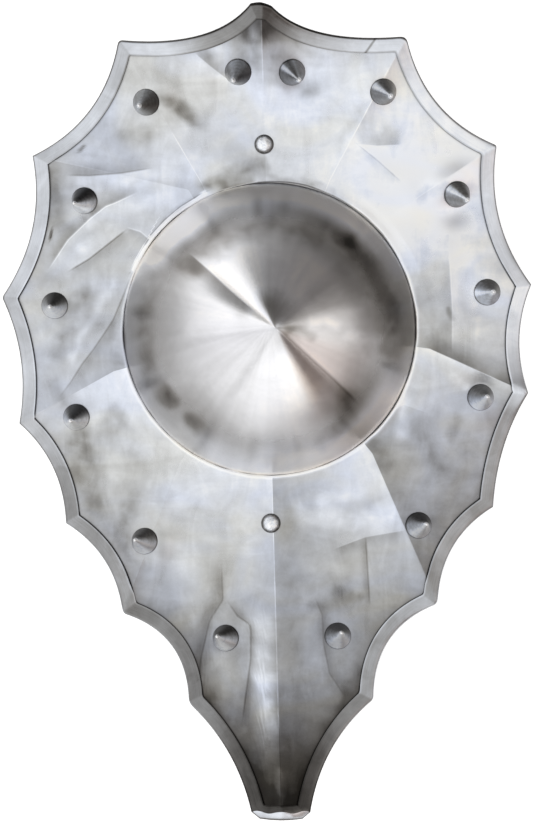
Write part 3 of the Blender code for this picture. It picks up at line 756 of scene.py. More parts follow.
def plate_sheet(material):
    """Creased plate: columns that follow the ridges, rows from the boss to the edging."""
    columns = plate_columns()
    rows = len(LIP_ROWS) + PANEL_ROWS + len(RIM_ROWS)
    piece, column, row = grid("plate_sheet", len(columns) - 1, rows)
    rim_reach = column_reach(INNER, columns)
    nose_line = OUTER + (INNER - OUTER) * (NOSE / RIM_WIDTH)
    nose_reach = column_reach(nose_line, columns)
    slant = edge_slant(columns, rim_reach)
    feet = column_point(columns, np.arange(len(columns)), np.full(len(columns), BOSS_RADIUS))
    gap, lift = lip_values(bearing_of(feet))
    hole = BOSS_RADIUS + gap
    radii = np.zeros((rows + 1, len(columns)))
    raised = np.zeros((rows + 1, len(columns)))
    for index, (out, drop) in enumerate(LIP_ROWS):
        radii[index] = hole + out * MM
        raised[index] = lift * (1 + drop) + drop * LIP_ROLL * (index < LIP_ROLL_ROWS)
    start = radii[len(LIP_ROWS) - 1]
    stop = rim_reach + RIM_ROWS[0] * MM / slant
    for step in range(1, PANEL_ROWS + 1):
        index = len(LIP_ROWS) - 1 + step
        radii[index] = mix(start, stop, step / (PANEL_ROWS + 1))
        fade = np.clip(1 - (radii[index] - start) / LIP_SLOPE_REACH, 0, 1) ** 2
        raised[index] = lift * LIP_SLOPE_SHARE * fade
    for index, outward in enumerate(RIM_ROWS, start=len(LIP_ROWS) + PANEL_ROWS):
        radii[index] = rim_reach + outward * MM / slant
    radii[-1] = nose_reach
    radius = radii[row, column]
    points = column_point(columns, column, radius)
    level = plate_level(points) + raised[row, column]
    places = np.column_stack((points, level))
    set_points(piece, at_hub(places))
    from_rim = (rim_reach[column] - radius) * slant[column]
    # Painted shadow line in the gap along the edging's inner line
    gap_shadow = np.exp(-np.clip(from_rim - GAP_SHADOW_WIDTH, 0, None) / GAP_SHADOW_FADE)
    store(piece, "gap_shadow", gap_shadow * tone_round(points, GAP_SHADOW_SHARES))
    # Each panel's tone holds painted light and shade; the soft marks add painted shade and highlights
    shade = panel_buffing_and_shade(points) + painted(ragged(points), PLATE_MARKS_AND_SHADE)
    # Darkening that fades inward from the edging, by bearing
    shade += tone_round(points, RIM_DARKENING_TONES) * np.exp(-np.maximum(from_rim, 0) / RIM_DARKENING_REACH)
    # Painted highlight line along some ridge crests, which are also rubbed bright
    for ridge, (tone, first, last) in WORN_AND_LIT_RIDGES.items():
        crest = np.array([index % len(RIDGES) == ridge and share == 0 for index, share in columns])[column]
        worn_and_lit = ease((radius / MM - first) / WORN_AND_LIT_FADE) * ease((last - radius / MM) / WORN_AND_LIT_FADE)
        shade += tone * crest * worn_and_lit * (1 + WORN_AND_LIT_UNEVENNESS * waves(points, WORN_AND_LIT_LENGTH, seed=1.7))
    # Painted highlight and shade on the plate's lip at the boss
    lip = np.interp(row, range(len(LIP_HIGHLIGHT_SHARES)), LIP_HIGHLIGHT_SHARES)
    shade += lip * tone_round(points, LIP_HIGHLIGHT_TONES)
    store(piece, "shade", shade)
    # Painted light and shade along the folds, for the material to draw crisply
    store(piece, "folds", fold_marks(points, FOLDS))
    store(piece, "crossing_folds", fold_marks(points, CROSSING_FOLDS))
    merge(piece)
    edit(piece)
    bpy.ops.mesh.flip_normals()
    done()
    front_count = len(piece.data.vertices)
    apply_modifier(piece, "SOLIDIFY", thickness=SHEET, offset=-1)
    make_plainer(piece, np.arange(len(piece.data.vertices)) >= front_count, PLATE_BACK_TONE)
    smooth(piece, angle=30)
    return finish_piece(piece, material, "plate_steel", "plate")


def edge_slant(columns, reach):
    """Cosine between each column and the square way across the edging's inner line."""
    points = column_point(columns, np.arange(len(columns)), reach)
    tangent = np.roll(points, -1, axis=0) - np.roll(points, 1, axis=0)
    tangent /= np.maximum(np.hypot(*tangent.T), 1e-9)[:, None]
    way = points / np.hypot(*points.T)[:, None]
    return np.clip(np.abs(way[:, 0] * tangent[:, 1] - way[:, 1] * tangent[:, 0]), LEAST_SLANT, 1)


# Tone of each panel, 0 black to 1 white, from its own buffing and from painted light and
# shade for the way the panel faces: by the boss beside its first and its second ridge,
# and then out at the edge beside each
Tone = namedtuple("Tone", "near_first near_second far_first far_second")
PANEL_BUFFING_AND_SHADE = (
    Tone(0.85, 0.88, 0.87, 0.87),
    Tone(0.84, 0.79, 0.85, 0.82),
    Tone(0.89, 0.67, 0.71, 0.91),
    Tone(0.95, 0.87, 0.76, 0.72),
    Tone(0.91, 0.92, 0.74, 0.70),
    Tone(0.68, 0.98, 0.69, 0.73),
    Tone(0.64, 0.95, 0.64, 0.73),
    Tone(0.72, 1.05, 0.99, 1.02),
    Tone(1.02, 0.94, 1.07, 0.95),
    Tone(0.96, 0.90, 0.92, 0.84),
)
TONE_REACH = 190 * MM
MOST_OF_FAR_TONE = 1.3

# Darkening inside the edging strip, by bearing, and a painted shadow line in the gap right beside it
RIM_DARKENING_REACH = 9 * MM
RIM_DARKENING_TONES = ((90, -0.08), (110, -0.04), (150, -0.06), (200, -0.08), (222, -0.09), (240, -0.14), (262, -0.12),
              (280, -0.12), (300, -0.10), (320, -0.10), (345, -0.08), (20, -0.05), (60, -0.04))
GAP_SHADOW_SHARES = ((90, 0.45), (118, 0.4), (150, 1), (340, 1), (30, 0.8), (60, 0.4))
GAP_SHADOW_WIDTH = 0.3 * MM
GAP_SHADOW_FADE = 0.35 * MM

# Soft marks, each a line in millimetres from the boss's axis, how far the mark reaches,
# and how much brighter, or darker below zero, the steel is there. On the plate some are
# buffing marks and many are painted shade and painted highlights on the relief; on the
# boss they are painted reflections.
Stroke = namedtuple("Stroke", "line reach tone")
PLATE_MARKS_AND_SHADE = (
    Stroke(((-26, 208), (18, 208)), 20, -0.26),
    Stroke(((-6, 200), (2, 200)), 28, -0.10),
    Stroke(((-75, 160), (-65, 153), (-55, 147)), 9, -0.17),
    Stroke(((-60, 149), (-46, 141)), 8, -0.12),
    Stroke(((-80, 150), (-66, 142)), 10, -0.07),
    Stroke(((-110, 148), (-98, 158)), 12, 0.06),
    Stroke(((-78, 174), (-62, 166)), 9, -0.04),
    Stroke(((-108, 131), (-92, 132), (-78, 135)), 10, -0.09),
    Stroke(((-102, 124), (-84, 127)), 8, -0.05),
    Stroke(((-112, 101), (-80, 108), (-58, 112)), 14, 0.06),
    Stroke(((-90, 84), (-70, 92)), 12, 0.06),
    Stroke(((-22, 199), (-5, 196)), 13, -0.16),
    Stroke(((-24, 188), (-8, 182), (-8, 172)), 11, -0.12),
    Stroke(((-46, 188), (-34, 180)), 9, -0.08),
    Stroke(((6, 184), (5, 172)), 10, -0.16),
    Stroke(((10, 170), (28, 163)), 10, -0.13),
    Stroke(((20, 192), (34, 186)), 9, -0.07),
    Stroke(((-42, 99), (-26, 106), (-6, 110)), 9, -0.16),
    Stroke(((-40, 97), (-26, 101)), 9, -0.09),
    Stroke(((-20, 114), (-6, 112)), 9, -0.09),
    Stroke(((-2, 105), (22, 103), (44, 95)), 4, -0.10),
    Stroke(((-28, 124), (-10, 117)), 8, -0.06),
    Stroke(((-20, 140), (20, 150)), 24, 0.05),
    Stroke(((-50, 120), (-60, 136)), 14, 0.05),
    Stroke(((-150, 104), (-143, 72)), 12, -0.09),
    Stroke(((-126, 90), (-121, 83)), 7, -0.10),
    Stroke(((-130, 98), (-100, 100)), 6, 0.07),
    Stroke(((-138, 75), (-127, 73)), 8, 0.07),
    Stroke(((-130, 54), (-112, 70)), 6, 0.07),
    Stroke(((-141, 10), (-128, 24)), 11, -0.12),
    Stroke(((-126, 20), (-120, 4)), 9, -0.09),
    Stroke(((-108, 30), (-137, -18)), 6, 0.09),
    Stroke(((-147, -16), (-139, -2)), 8, -0.10),
    Stroke(((-150, -38), (-142, -52)), 8, -0.08),
    Stroke(((-104, -12), (-100, 14)), 8, 0.06),
    Stroke(((-129, -64), (-127, -86)), 9, -0.14),
    Stroke(((-108, -58), (-100, -66)), 8, -0.05),
    Stroke(((-104, -62), (-92, -100), (-98, -128)), 16, -0.08),
    Stroke(((-68, -104), (-62, -120)), 11, 0.05),
    Stroke(((-98, -122), (-101, -152)), 9, -0.07),
    Stroke(((-118, -120), (-100, -150)), 9, -0.07),
    Stroke(((-34, -226), (-30, -236)), 10, 0.07),
    Stroke(((-34, -212), (-27, -212)), 12, -0.07),
    Stroke(((-60, -240), (-40, -276), (-22, -318)), 15, -0.21),
    Stroke(((-45, -226), (-42, -252)), 11, -0.10),
    Stroke(((-14, -203), (-12, -240)), 10, 0.13),
    Stroke(((64, -240), (38, -292), (30, -320)), 15, -0.17),
    # Darkening towards the bottom end
    Stroke(((-8, -338), (20, -338)), 108, -0.50),
    Stroke(((7, -300), (7.5, -312), (8, -324)), 4, 0.14),
    # Painted highlight along the plate's lip at the boss, upper left
    Stroke(((-94, 40), (-86, 55), (-73, 71), (-58, 84), (-44, 92)), 3, 0.35),
    Stroke(((-5, -200), (-2, -270)), 13, 0.12),
    Stroke(((-5, -240), (-2, -286)), 11, 0.14),
    Stroke(((-42, -258), (-26, -298)), 12, -0.12),
    Stroke(((-16, -130), (-14, -200)), 14, 0.04),
    Stroke(((-62, -150), (-50, -200)), 16, 0.06),
    Stroke(((14, -130), (16, -250)), 10, -0.06),
    Stroke(((22, -124), (55, -134), (86, -128)), 12, 0.10),
    Stroke(((36, -118), (60, -112)), 8, 0.06),
    Stroke(((40, -160), (48, -166)), 7, 0.05),
    Stroke(((46, -180), (60, -184)), 7, -0.12),
    Stroke(((30, -190), (52, -186)), 8, -0.06),
    Stroke(((104, -70), (118, -96)), 12, -0.10),
    Stroke(((128, -62), (124, -72)), 8, -0.10),
    Stroke(((137, -80), (126, -112), (112, -132)), 12, -0.06),
    Stroke(((93, -38), (91, -72)), 8, 0.10),
    Stroke(((72, -80), (78, -92)), 10, -0.12),
    Stroke(((126, -33), (134, -38)), 5, 0.10),
    Stroke(((100, 20), (116, 0)), 12, -0.05),
    Stroke(((104, 36), (111, 14)), 10, -0.06),
    Stroke(((140, 28), (143, 0)), 9, 0.07),
    Stroke(((114, 64), (132, 50)), 13, 0.10),
    Stroke(((124, 14), (125, 8)), 3, -0.12),
    Stroke(((106, 90), (120, 98)), 10, -0.13),
    Stroke(((138, 96), (148, 84)), 12, -0.05),
    Stroke(((66, 139), (88, 131)), 11, -0.07),
    Stroke(((119, 112), (137, 112)), 9, 0.15),
    Stroke(((118, 74), (136, 73)), 9, 0.18),
    Stroke(((-112, -66), (-122, -92), (-122, -118)), 15, -0.12),
    Stroke(((-136, -74), (-134, -104)), 9, -0.12),
    Stroke(((48, 122), (60, 148)), 7, -0.06),
    Stroke(((-131, 123), (-128, 127)), 2, -0.35),
    Stroke(((-152, 61), (-151, 67)), 2, -0.3),
)
RAGGED_STEP = 3 * MM
RAGGED_LENGTH = 14 * MM
MOTTLE_LENGTH = 9 * MM
MOTTLE_STRENGTH = 0.7
MOTTLE_REACH = 12

# Ridges whose crest is rubbed bright and given a painted highlight line: each by its
# place in RIDGES, with its tone and where that starts and ends, in millimetres from the
# boss's axis
WORN_AND_LIT_RIDGES = {0: (0.12, 165, 215), 1: (0.15, 98, 152), 5: (0.12, 102, 276), 8: (0.06, 112, 162),
               9: (0.15, 96, 200)}
WORN_AND_LIT_FADE = 12
WORN_AND_LIT_LENGTH = 6 * MM
WORN_AND_LIT_UNEVENNESS = 0.8


def panel_buffing_and_shade(points):
    """Tone of the plate at plan points from each panel's own buffing and painted light and shade."""
    panel, share, radius = panels_of(points)
    tones = np.array(PANEL_BUFFING_AND_SHADE)[panel]
    near = mix(tones[:, 0], tones[:, 1], share)
    far = mix(tones[:, 2], tones[:, 3], share)
    out = (radius - BOSS_RADIUS) / (TONE_REACH - BOSS_RADIUS)
    return mix(near, far, np.clip(out, 0, MOST_OF_FAR_TONE))


def ragged(points):
    """Plan points pushed about a little, so that soft marks get an uneven edge."""
    push = [waves(points, RAGGED_LENGTH, seed) for seed in (5.5, 9.9)]
    return points + RAGGED_STEP * np.column_stack(push)


def painted(points, strokes):
    """Sum of soft strokes at plan points."""
    shade = np.zeros(len(points))
    mottle = MOTTLE_STRENGTH * waves(points, MOTTLE_LENGTH, seed=4.4)
    for stroke in strokes:
        distance = line_places(points / MM, stroke.line)[0]
        uneven = 1 + mottle * min(1, MOTTLE_REACH / stroke.reach)
        shade += stroke.tone * ease(1 - distance / stroke.reach) * uneven
    return shade


# Edging strip: painted light and shade by bearing, for the way each stretch of it faces,
# and the painted highlights and shade that its inner line and its outer edge add
RIM_LIGHT_AND_SHADE = ((90, 0.45), (100, 0.52), (110, 0.80), (120, 0.78), (130, 0.90), (150, 0.74), (160, 0.76),
             (180, 0.71), (190, 0.80), (210, 0.68), (230, 0.54), (250, 0.58), (260, 0.52), (270, 0.22),
             (280, 0.60), (290, 0.60), (305, 0.68), (325, 0.64), (340, 0.68), (350, 0.86), (20, 0.93),
             (50, 0.95), (70, 0.86), (80, 0.74))
RIM_LINE_HIGHLIGHT_AND_SHADE = ((60, -0.2), (90, -0.15), (120, -0.2), (140, -0.05), (160, 0.12), (250, 0.12), (270, -0.1),
                  (290, 0.16), (340, 0.10), (10, 0.0), (40, -0.15))
RIM_EDGE_HIGHLIGHT_AND_SHADE = ((60, -0.5), (90, -0.5), (115, -0.4), (150, -0.3), (185, -0.25), (210, -0.15),
                  (225, 0.15), (262, 0.2), (267.5, -0.45), (275.5, -0.45), (281, 0.2), (318, 0.15),
                  (335, -0.2), (0, -0.3), (40, -0.4))
RIM_LINE_WIDTH = 0.5 * MM
RIM_EDGE_WIDTH = 1.2 * MM
RIM_EDGE_FADE = 0.6 * MM
SCALLOP_TONE = 0.05
SCALLOP_TONE_STEP = 2.4
SECTION_TURNS = 8
SECTION_ROUNDNESS = 0.8
# Painted highlight on the bent lip at the bottom end
BENT_LIP_HIGHLIGHT = 0.62

# Butt joint of the strip, so many stations past a corner, with one end standing up
SEAM_CORNER = "right_1"
SEAM_PAST = 14
SEAM_STEP = 0.5 * MM
SEAM_RUN = 9 * MM
SEAM_TONE = 0.3


def tone_round(points, tones):
    """Tone at plan points from tones given by bearing."""
    bearings, values = np.array(tones).T
    return np.interp(bearing_of(points), bearings, values, period=360)


def strip_section():
    """Section of the folded strip: distances in from its outer edge, and heights over its middle."""
    half = SHEET / 2 + FIT_GAP + RIM_SHEET
    slack = SHEET / 2 + FIT_GAP
    section = [(RIM_WIDTH, slack), (RIM_WIDTH, half - 0.25 * MM), (RIM_WIDTH - 0.12 * MM, half - 0.07 * MM),
               (RIM_WIDTH - 0.35 * MM, half), (RIM_WIDTH - 1.3 * MM, half + 0.02 * MM)]
    section += [(inset * MM, half) for inset in (7.2, 5.6, 4.0)]
    for step in range(SECTION_TURNS + 1):
        angle = math.pi * (0.5 - step / SECTION_TURNS)
        section.append((half * SECTION_ROUNDNESS * (1 - math.cos(angle)), half * math.sin(angle)))
    section += [(inset * MM, -half) for inset in (4.0, 7.2)]
    section += [(RIM_WIDTH - 0.3 * MM, -half), (RIM_WIDTH, -half + 0.25 * MM), (RIM_WIDTH, -slack)]
    section += [(5 * MM, -slack), (NOSE, -slack), (NOSE, slack), (5 * MM, slack)]
    return section


def strip_normals(points):
    """Unit way out of the plate's front at plan points."""
    reach = 2 * MM
    steps = ((reach, 0), (-reach, 0), (0, reach), (0, -reach))
    level = [panel_level(points + np.array(step)) for step in steps]
    normals = np.column_stack((level[1] - level[0], level[3] - level[2], np.full(len(points), 2 * reach)))
    return normals / np.linalg.norm(normals, axis=1)[:, None]


def rim_strip(material):
    """Folded edging strip that starts and ends at a butt joint by the upper right corner."""
    count = len(OUTER)
    seam = STATION_OF[SEAM_CORNER] + SEAM_PAST
    order = (np.arange(count + 1) + seam) % count
    outer, inner = OUTER[order], INNER[order]
    section = strip_section()
    piece, station, turn = grid("rim_strip", count, len(section))
    normal_outer = strip_normals(mix(outer, inner, NOSE / RIM_WIDTH))
    normal_inner = strip_normals(inner)
    inset, height = np.array(section)[turn % len(section)].T
    share = inset / RIM_WIDTH
    plan = mix(outer[station], inner[station], share[:, None])
    level = plate_level(plan) - SHEET / 2
    normal = mix(normal_outer[station], normal_inner[station], share[:, None])
    runs = runs_along(outer)
    lifted = (height > 0) * SEAM_STEP * np.clip(1 - runs[station] / SEAM_RUN, 0, 1)
    places = np.column_stack((plan, level)) + normal * (height + lifted)[:, None]
    set_points(piece, at_hub(places))
    store(piece, "strip", np.column_stack((runs[station], inset, height)))
    edge_number = np.searchsorted(sorted(STATION_OF.values()), order[station], side="right")
    own_tone = SCALLOP_TONE * np.sin(edge_number * SCALLOP_TONE_STEP)
    # Painted light and shade by bearing, with painted highlights and shade at the inner line and outer edge
    shade = tone_round(plan, RIM_LIGHT_AND_SHADE) + own_tone
    shade += tone_round(plan, RIM_LINE_HIGHLIGHT_AND_SHADE) * (inset > RIM_WIDTH - RIM_LINE_WIDTH) * (height > 0)
    by_edge = ease((RIM_EDGE_WIDTH - inset) / RIM_EDGE_FADE) * (height > -SHEET)
    shade += tone_round(plan, RIM_EDGE_HIGHLIGHT_AND_SHADE) * by_edge
    shade -= SEAM_TONE * ((station == 0) | (station == count)) * (height > 0)
    store(piece, "shade", shade)
    store(piece, "end", end_lip(plan) / MM)
    merge(piece)
    edit(piece)
    bpy.ops.mesh.select_all(action="DESELECT")
    bpy.ops.mesh.select_non_manifold()
    bpy.ops.mesh.edge_face_add()
    done()
    face_out(piece)
    smooth(piece, angle=35)
    return finish_piece(piece, material, "rim_steel", "rim_binding")


def spun(name, profile, sides):
    """Turned surface drawn ring by ring from a profile of (radius, height), pole to pole."""
    deselect()
    first_radius, first_height = profile[0]
    bpy.ops.mesh.primitive_circle_add(vertices=sides, radius=first_radius, location=(0, 0, first_height))
    piece = bpy.context.object
    bpy.ops.object.transform_apply(location=True)
    piece.name = name
    piece.data.name = name
    edit(piece)
    for (radius, height), (next_radius, next_height) in zip(profile, profile[1:]):
        bpy.ops.mesh.extrude_edges_move(TRANSFORM_OT_translate={"value": (0, 0, next_height - height)})
        scale = next_radius / radius
        bpy.ops.transform.resize(value=(scale, scale, 1), center_override=(0, 0, next_height))
    done()
    return piece


def close_ring(piece, is_on_ring):
    """Draw an open ring of a turned piece together: the one whose points pass a test."""
    edit(piece)
    bpy.ops.mesh.select_all(action="DESELECT")
    done()
    for vertex in piece.data.vertices:
        vertex.select = bool(is_on_ring(vertex.co))
    bpy.ops.object.mode_set(mode="EDIT")
    bpy.ops.mesh.merge(type="CENTER")
    done()


def boss_height(share):
    """Height of the boss's outer face at a share of its radius."""
    blunt = np.hypot(share, PEAK_ROUNDING) - PEAK_ROUNDING
    full = np.hypot(1, PEAK_ROUNDING) - PEAK_ROUNDING
    return CONE_RISE * (1 - blunt / full) + DOME_RISE * (1 - share ** DOME_POWER)


BOSS_SIDES = 240
BOSS_RINGS = 62
FIRST_SHARE = 0.004
RING_POWER = 1.15
POLE_RADIUS = 0.2 * MM
SLOPE_STEP = 0.001
WALL_TURNS_PER_SHARE = 10
FLANGE_ROUNDING = 0.3 * MM
FLANGE_FRONT_ROUNDING = 0.2 * MM
BOSS_INSIDE_TONE = 0.6

# Painted reflections on the boss by bearing: at its peak, over its crown, on its shoulder
# and in the ring at its foot
PEAK_REFLECTIONS = ((0, 0.66), (15, 0.80), (45, 0.80), (75, 0.66), (95, 0.58), (112, 0.52), (122, 0.86),
              (135, 1.0), (165, 0.90), (200, 0.86), (240, 0.86), (300, 0.90), (315, 0.94), (330, 0.78))
CROWN_REFLECTIONS = ((0, 0.86), (30, 0.90), (60, 0.96), (90, 0.88), (105, 0.96), (135, 0.98), (150, 0.93),
               (195, 0.88), (225, 0.87), (245, 0.90), (270, 0.92), (300, 1.0), (315, 1.0), (330, 0.90))
SHOULDER_REFLECTIONS = ((0, 0.60), (30, 0.50), (45, 0.45), (60, 0.54), (75, 0.66), (90, 0.80), (105, 0.80),
                  (120, 0.74), (135, 0.64), (150, 0.74), (180, 0.72), (210, 0.78), (232, 0.66),
                  (255, 0.82), (270, 0.88), (285, 0.92), (300, 0.82), (315, 0.52), (330, 0.66),
                  (345, 0.78))
FOOT_REFLECTIONS = ((0, 0.52), (15, 0.60), (30, 0.76), (45, 0.96), (60, 1.0), (135, 1.0), (150, 1.0),
              (165, 0.76), (195, 0.72), (215, 0.76), (240, 0.88), (270, 0.94), (285, 1.0), (315, 1.0),
              (330, 1.0), (345, 0.74))

# Painted shade and light that the boss's foot gets down in the gap, by bearing
GAP_SHADE_AND_LIGHT = ((0, 0.1), (20, 0.05), (45, 0.1), (60, 0.0), (80, -0.15), (98, -0.1), (110, 0.2), (160, 0.2),
             (185, -0.1), (205, 0.1), (265, 0.1), (285, 0.25), (332, 0.25), (345, 0.0))
GAP_HEIGHT = 1.4 * MM

# Shares of the boss's radius between which one of these tones eases into the next, and
# how far the peak's tone follows the peak off centre
PEAK_TONE_SHIFT = 0.8
PEAK_SHARE = 0.12
CROWN_SHARE = 0.28
CROWN_END_SHARE = 0.5
SHOULDER_SHARE = 0.78
FOOT_SHARE = 0.90

# Painted edges of the boss's reflection lobes, and painted reflections of the spikes and
# the studio on it, with a few smaller marks
BOSS_REFLECTION_EDGES = (
    Fold(((3, 1), (24, -18), (44, -36), (62, -53)), 12, 13, 0, 0.03, -0.15, -0.10),
    Fold(((-8, 8.5), (-15, 14), (-27, 24.5), (-40.5, 37.5), (-56, 51.5)), 13, 12, 0, -0.29, 0.04, 0.0),
)
BOSS_REFLECTION_MARKS = (
    Stroke(((51, 61), (53, 59)), 10, -0.32),
    Stroke(((54, -48), (51, -57)), 12, -0.09),
    Stroke(((-72, -44), (-67, -48)), 10, -0.36),
    Stroke(((-52, -63), (-48, -66)), 9, -0.26),
    Stroke(((-57, 41), (-52, 36)), 9, -0.16),
    Stroke(((-45, 50), (-36, 45)), 9, -0.10),
    Stroke(((12, -2), (20, -4), (29, -8)), 5, -0.13),
    Stroke(((31, 3), (42, 1)), 8, 0.08),
    Stroke(((54, -6), (62, -9)), 10, 0.07),
    Stroke(((34, 20), (52, 20)), 14, -0.07),
    Stroke(((81, -14), (82, 12), (75, 32), (64, 50)), 14, -0.17),
    Stroke(((46, -70), (36, -78)), 9, -0.10),
    Stroke(((-81, 36), (-87, 2), (-82, -28)), 12, -0.12),
    Stroke(((-52, 77), (-78, 56)), 15, 0.22),
    Stroke(((-40, 60), (-30, 51)), 12, -0.08),
    Stroke(((30, 60), (0, 68), (-34, 60)), 13, -0.13),
    Stroke(((72, -8), (66, -22)), 9, 0.06),
)


def boss_reflections(points):
    """Painted reflections on the boss at plan points, from its peak's ring out to its foot's."""
    share = np.hypot(*points.T) / BOSS_RADIUS
    tone = tone_round(points - PEAK_SHIFT * PEAK_TONE_SHIFT, PEAK_REFLECTIONS)
    for tones, start, end in ((CROWN_REFLECTIONS, PEAK_SHARE, CROWN_SHARE),
                              (SHOULDER_REFLECTIONS, CROWN_END_SHARE, SHOULDER_SHARE),
                              (FOOT_REFLECTIONS, SHOULDER_SHARE, FOOT_SHARE)):
        tone = mix(tone, tone_round(points, tones), ease((share - start) / (end - start)))
    return tone + painted(ragged(points), BOSS_REFLECTION_MARKS)


def boss_dome(material):
    """Spun boss: outer face, flange behind the plate and inner face, with its peak shifted."""
    shares = [FIRST_SHARE + (1 - FIRST_SHARE) * (step / BOSS_RINGS) ** RING_POWER
              for step in range(BOSS_RINGS + 1)]
    outer = [(share * BOSS_RADIUS, boss_height(share)) for share in shares]
    seat = -(SHEET + FIT_GAP)
    back = seat - BOSS_SHEET
    root = BOSS_RADIUS - seat * BOSS_RADIUS / (CONE_RISE + DOME_POWER * DOME_RISE)
    flange = [(root, seat), (FLANGE_RADIUS - FLANGE_FRONT_ROUNDING, seat),
              (FLANGE_RADIUS, seat - FLANGE_ROUNDING), (FLANGE_RADIUS, back + FLANGE_ROUNDING),
              (FLANGE_RADIUS - FLANGE_ROUNDING, back), (root - BOSS_SHEET, back)]
    inner = []
    for share in shares[::2]:
        run = 2 * SLOPE_STEP * BOSS_RADIUS
        fall = boss_height(max(share - SLOPE_STEP, 0)) - boss_height(share + SLOPE_STEP)
        slant = math.hypot(run, fall)
        inward = BOSS_SHEET * fall / slant * min(share * WALL_TURNS_PER_SHARE, 1)
        radius = share * BOSS_RADIUS - inward
        inner.append((max(radius, POLE_RADIUS), boss_height(share) - BOSS_SHEET * run / slant))
    piece = spun("boss_dome", outer + flange + inner[::-1], BOSS_SIDES)
    peak = boss_height(0)
    close_ring(piece, lambda place: place.z > outer[0][1] - 1e-6)
    inner_pole = Vector((0, 0, inner[0][1]))
    close_ring(piece, lambda place: (place - inner_pole).length < 1.25 * POLE_RADIUS)
    places = points_of(piece)
    shares = np.minimum(np.hypot(*places[:, :2].T) / BOSS_RADIUS, 1)
    behind = places[:, 2] < boss_height(shares) - BOSS_SHEET / 3
    places[:, :2] += np.outer(np.maximum(places[:, 2], 0) / peak, PEAK_SHIFT)
    set_points(piece, at_hub(places))
    out = np.hypot(places[:, 0], places[:, 1])
    flat = np.column_stack((places[:, :2] / np.maximum(out, MM)[:, None], np.zeros(len(places))))
    store(piece, "radial", flat)
    # Painted shade and light down in the gap at the boss's foot
    in_gap = ease((GAP_HEIGHT - places[:, 2]) / GAP_HEIGHT)
    # Painted reflections on the boss, plus the gap's painted shade and light
    store(piece, "shade", boss_reflections(places[:, :2]) + tone_round(places[:, :2], GAP_SHADE_AND_LIGHT) * in_gap)
    store(piece, "dull", ease((out / BOSS_RADIUS - CROWN_END_SHARE) / (FOOT_SHARE - CROWN_END_SHARE)))
    # Painted edges of the boss's reflection lobes, for the material to draw crisply
    store(piece, "folds", fold_marks(places[:, :2], BOSS_REFLECTION_EDGES))
    make_plainer(piece, behind, BOSS_INSIDE_TONE)
    face_out(piece)
    smooth(piece, angle=40)
    return finish_piece(piece, material, "boss_steel", "boss")


# Hammered-over ends behind the plate: rings as shares of their radius and their height
SPIKE_PEEN = ((1, 0), (1, 0.3), (0.85, 0.8), (0.55, 1))
RIVET_PEEN = ((1, 0), (1, 0.3), (0.8, 0.85), (0.5, 1))
PEEN_POLE_RADIUS = 0.1 * MM
SPIKE_SIDES = 72
SPIKE_RINGS = 34
TIP_POLE_SHARE = 0.05
TIP_ANGLES = (0.35, 0.7, 1.05, 1.35)
TOOL_MARK = 0.03 * MM

# Foot of a spike: its rounding as distances in from its edge and up from its seat
SPIKE_FOOT_RISE = 0.5 * MM
SPIKE_FOOT = ((0.05 * MM, 0.2 * MM), (0.25 * MM, 0))


def shank_profile(shank_diameter, back, peen_diameter, peen_rings):
    """Profile from under a head, down the shank and over its hammered end to the pole."""
    profile = [(shank_diameter / 2, FIT_GAP), (shank_diameter / 2, back)]
    profile += [(peen_diameter / 2 * out, back - PEEN_HEIGHT * down) for out, down in peen_rings]
    return profile + [(PEEN_POLE_RADIUS, back - PEEN_HEIGHT)]


def close_poles(piece, top, back):
    """Close a turned piece's open rings at its top and at its hammered end."""
    close_ring(piece, lambda place: place.z > top - 1e-6)
    close_ring(piece, lambda place: place.xy.length < 2 * PEEN_POLE_RADIUS and place.z < back)


def spike_pattern():
    """One spike, upright with its foot at the origin: turned cone, shank and hammered end."""
    radius = SPIKE_DIAMETER / 2
    tip = SPIKE_TIP_RADIUS
    profile = [(tip * TIP_POLE_SHARE, SPIKE_HEIGHT)]
    profile += [(tip * math.sin(angle), SPIKE_HEIGHT - tip + tip * math.cos(angle)) for angle in TIP_ANGLES]
    top = profile[-1]
    for step in range(1, SPIKE_RINGS + 1):
        share = step / SPIKE_RINGS
        mark = TOOL_MARK * (step % 2)
        profile.append((mix(top[0], radius, share) - mark, mix(top[1], FIT_GAP + SPIKE_FOOT_RISE, share)))
    profile += [(radius - inward, FIT_GAP + rise) for inward, rise in SPIKE_FOOT]
    back = -SHEET - FIT_GAP
    profile += shank_profile(SPIKE_SHANK_DIAMETER, back, SPIKE_PEEN_DIAMETER, SPIKE_PEEN)
    piece = spun("spike_pattern", profile, SPIKE_SIDES)
    close_poles(piece, SPIKE_HEIGHT, back)
    face_out(piece)
    return piece


def copy_of(pattern, name):
    piece = pattern.copy()
    piece.data = pattern.data.copy()
    piece.name = name
    piece.data.name = name
    bpy.context.collection.objects.link(piece)
    return piece


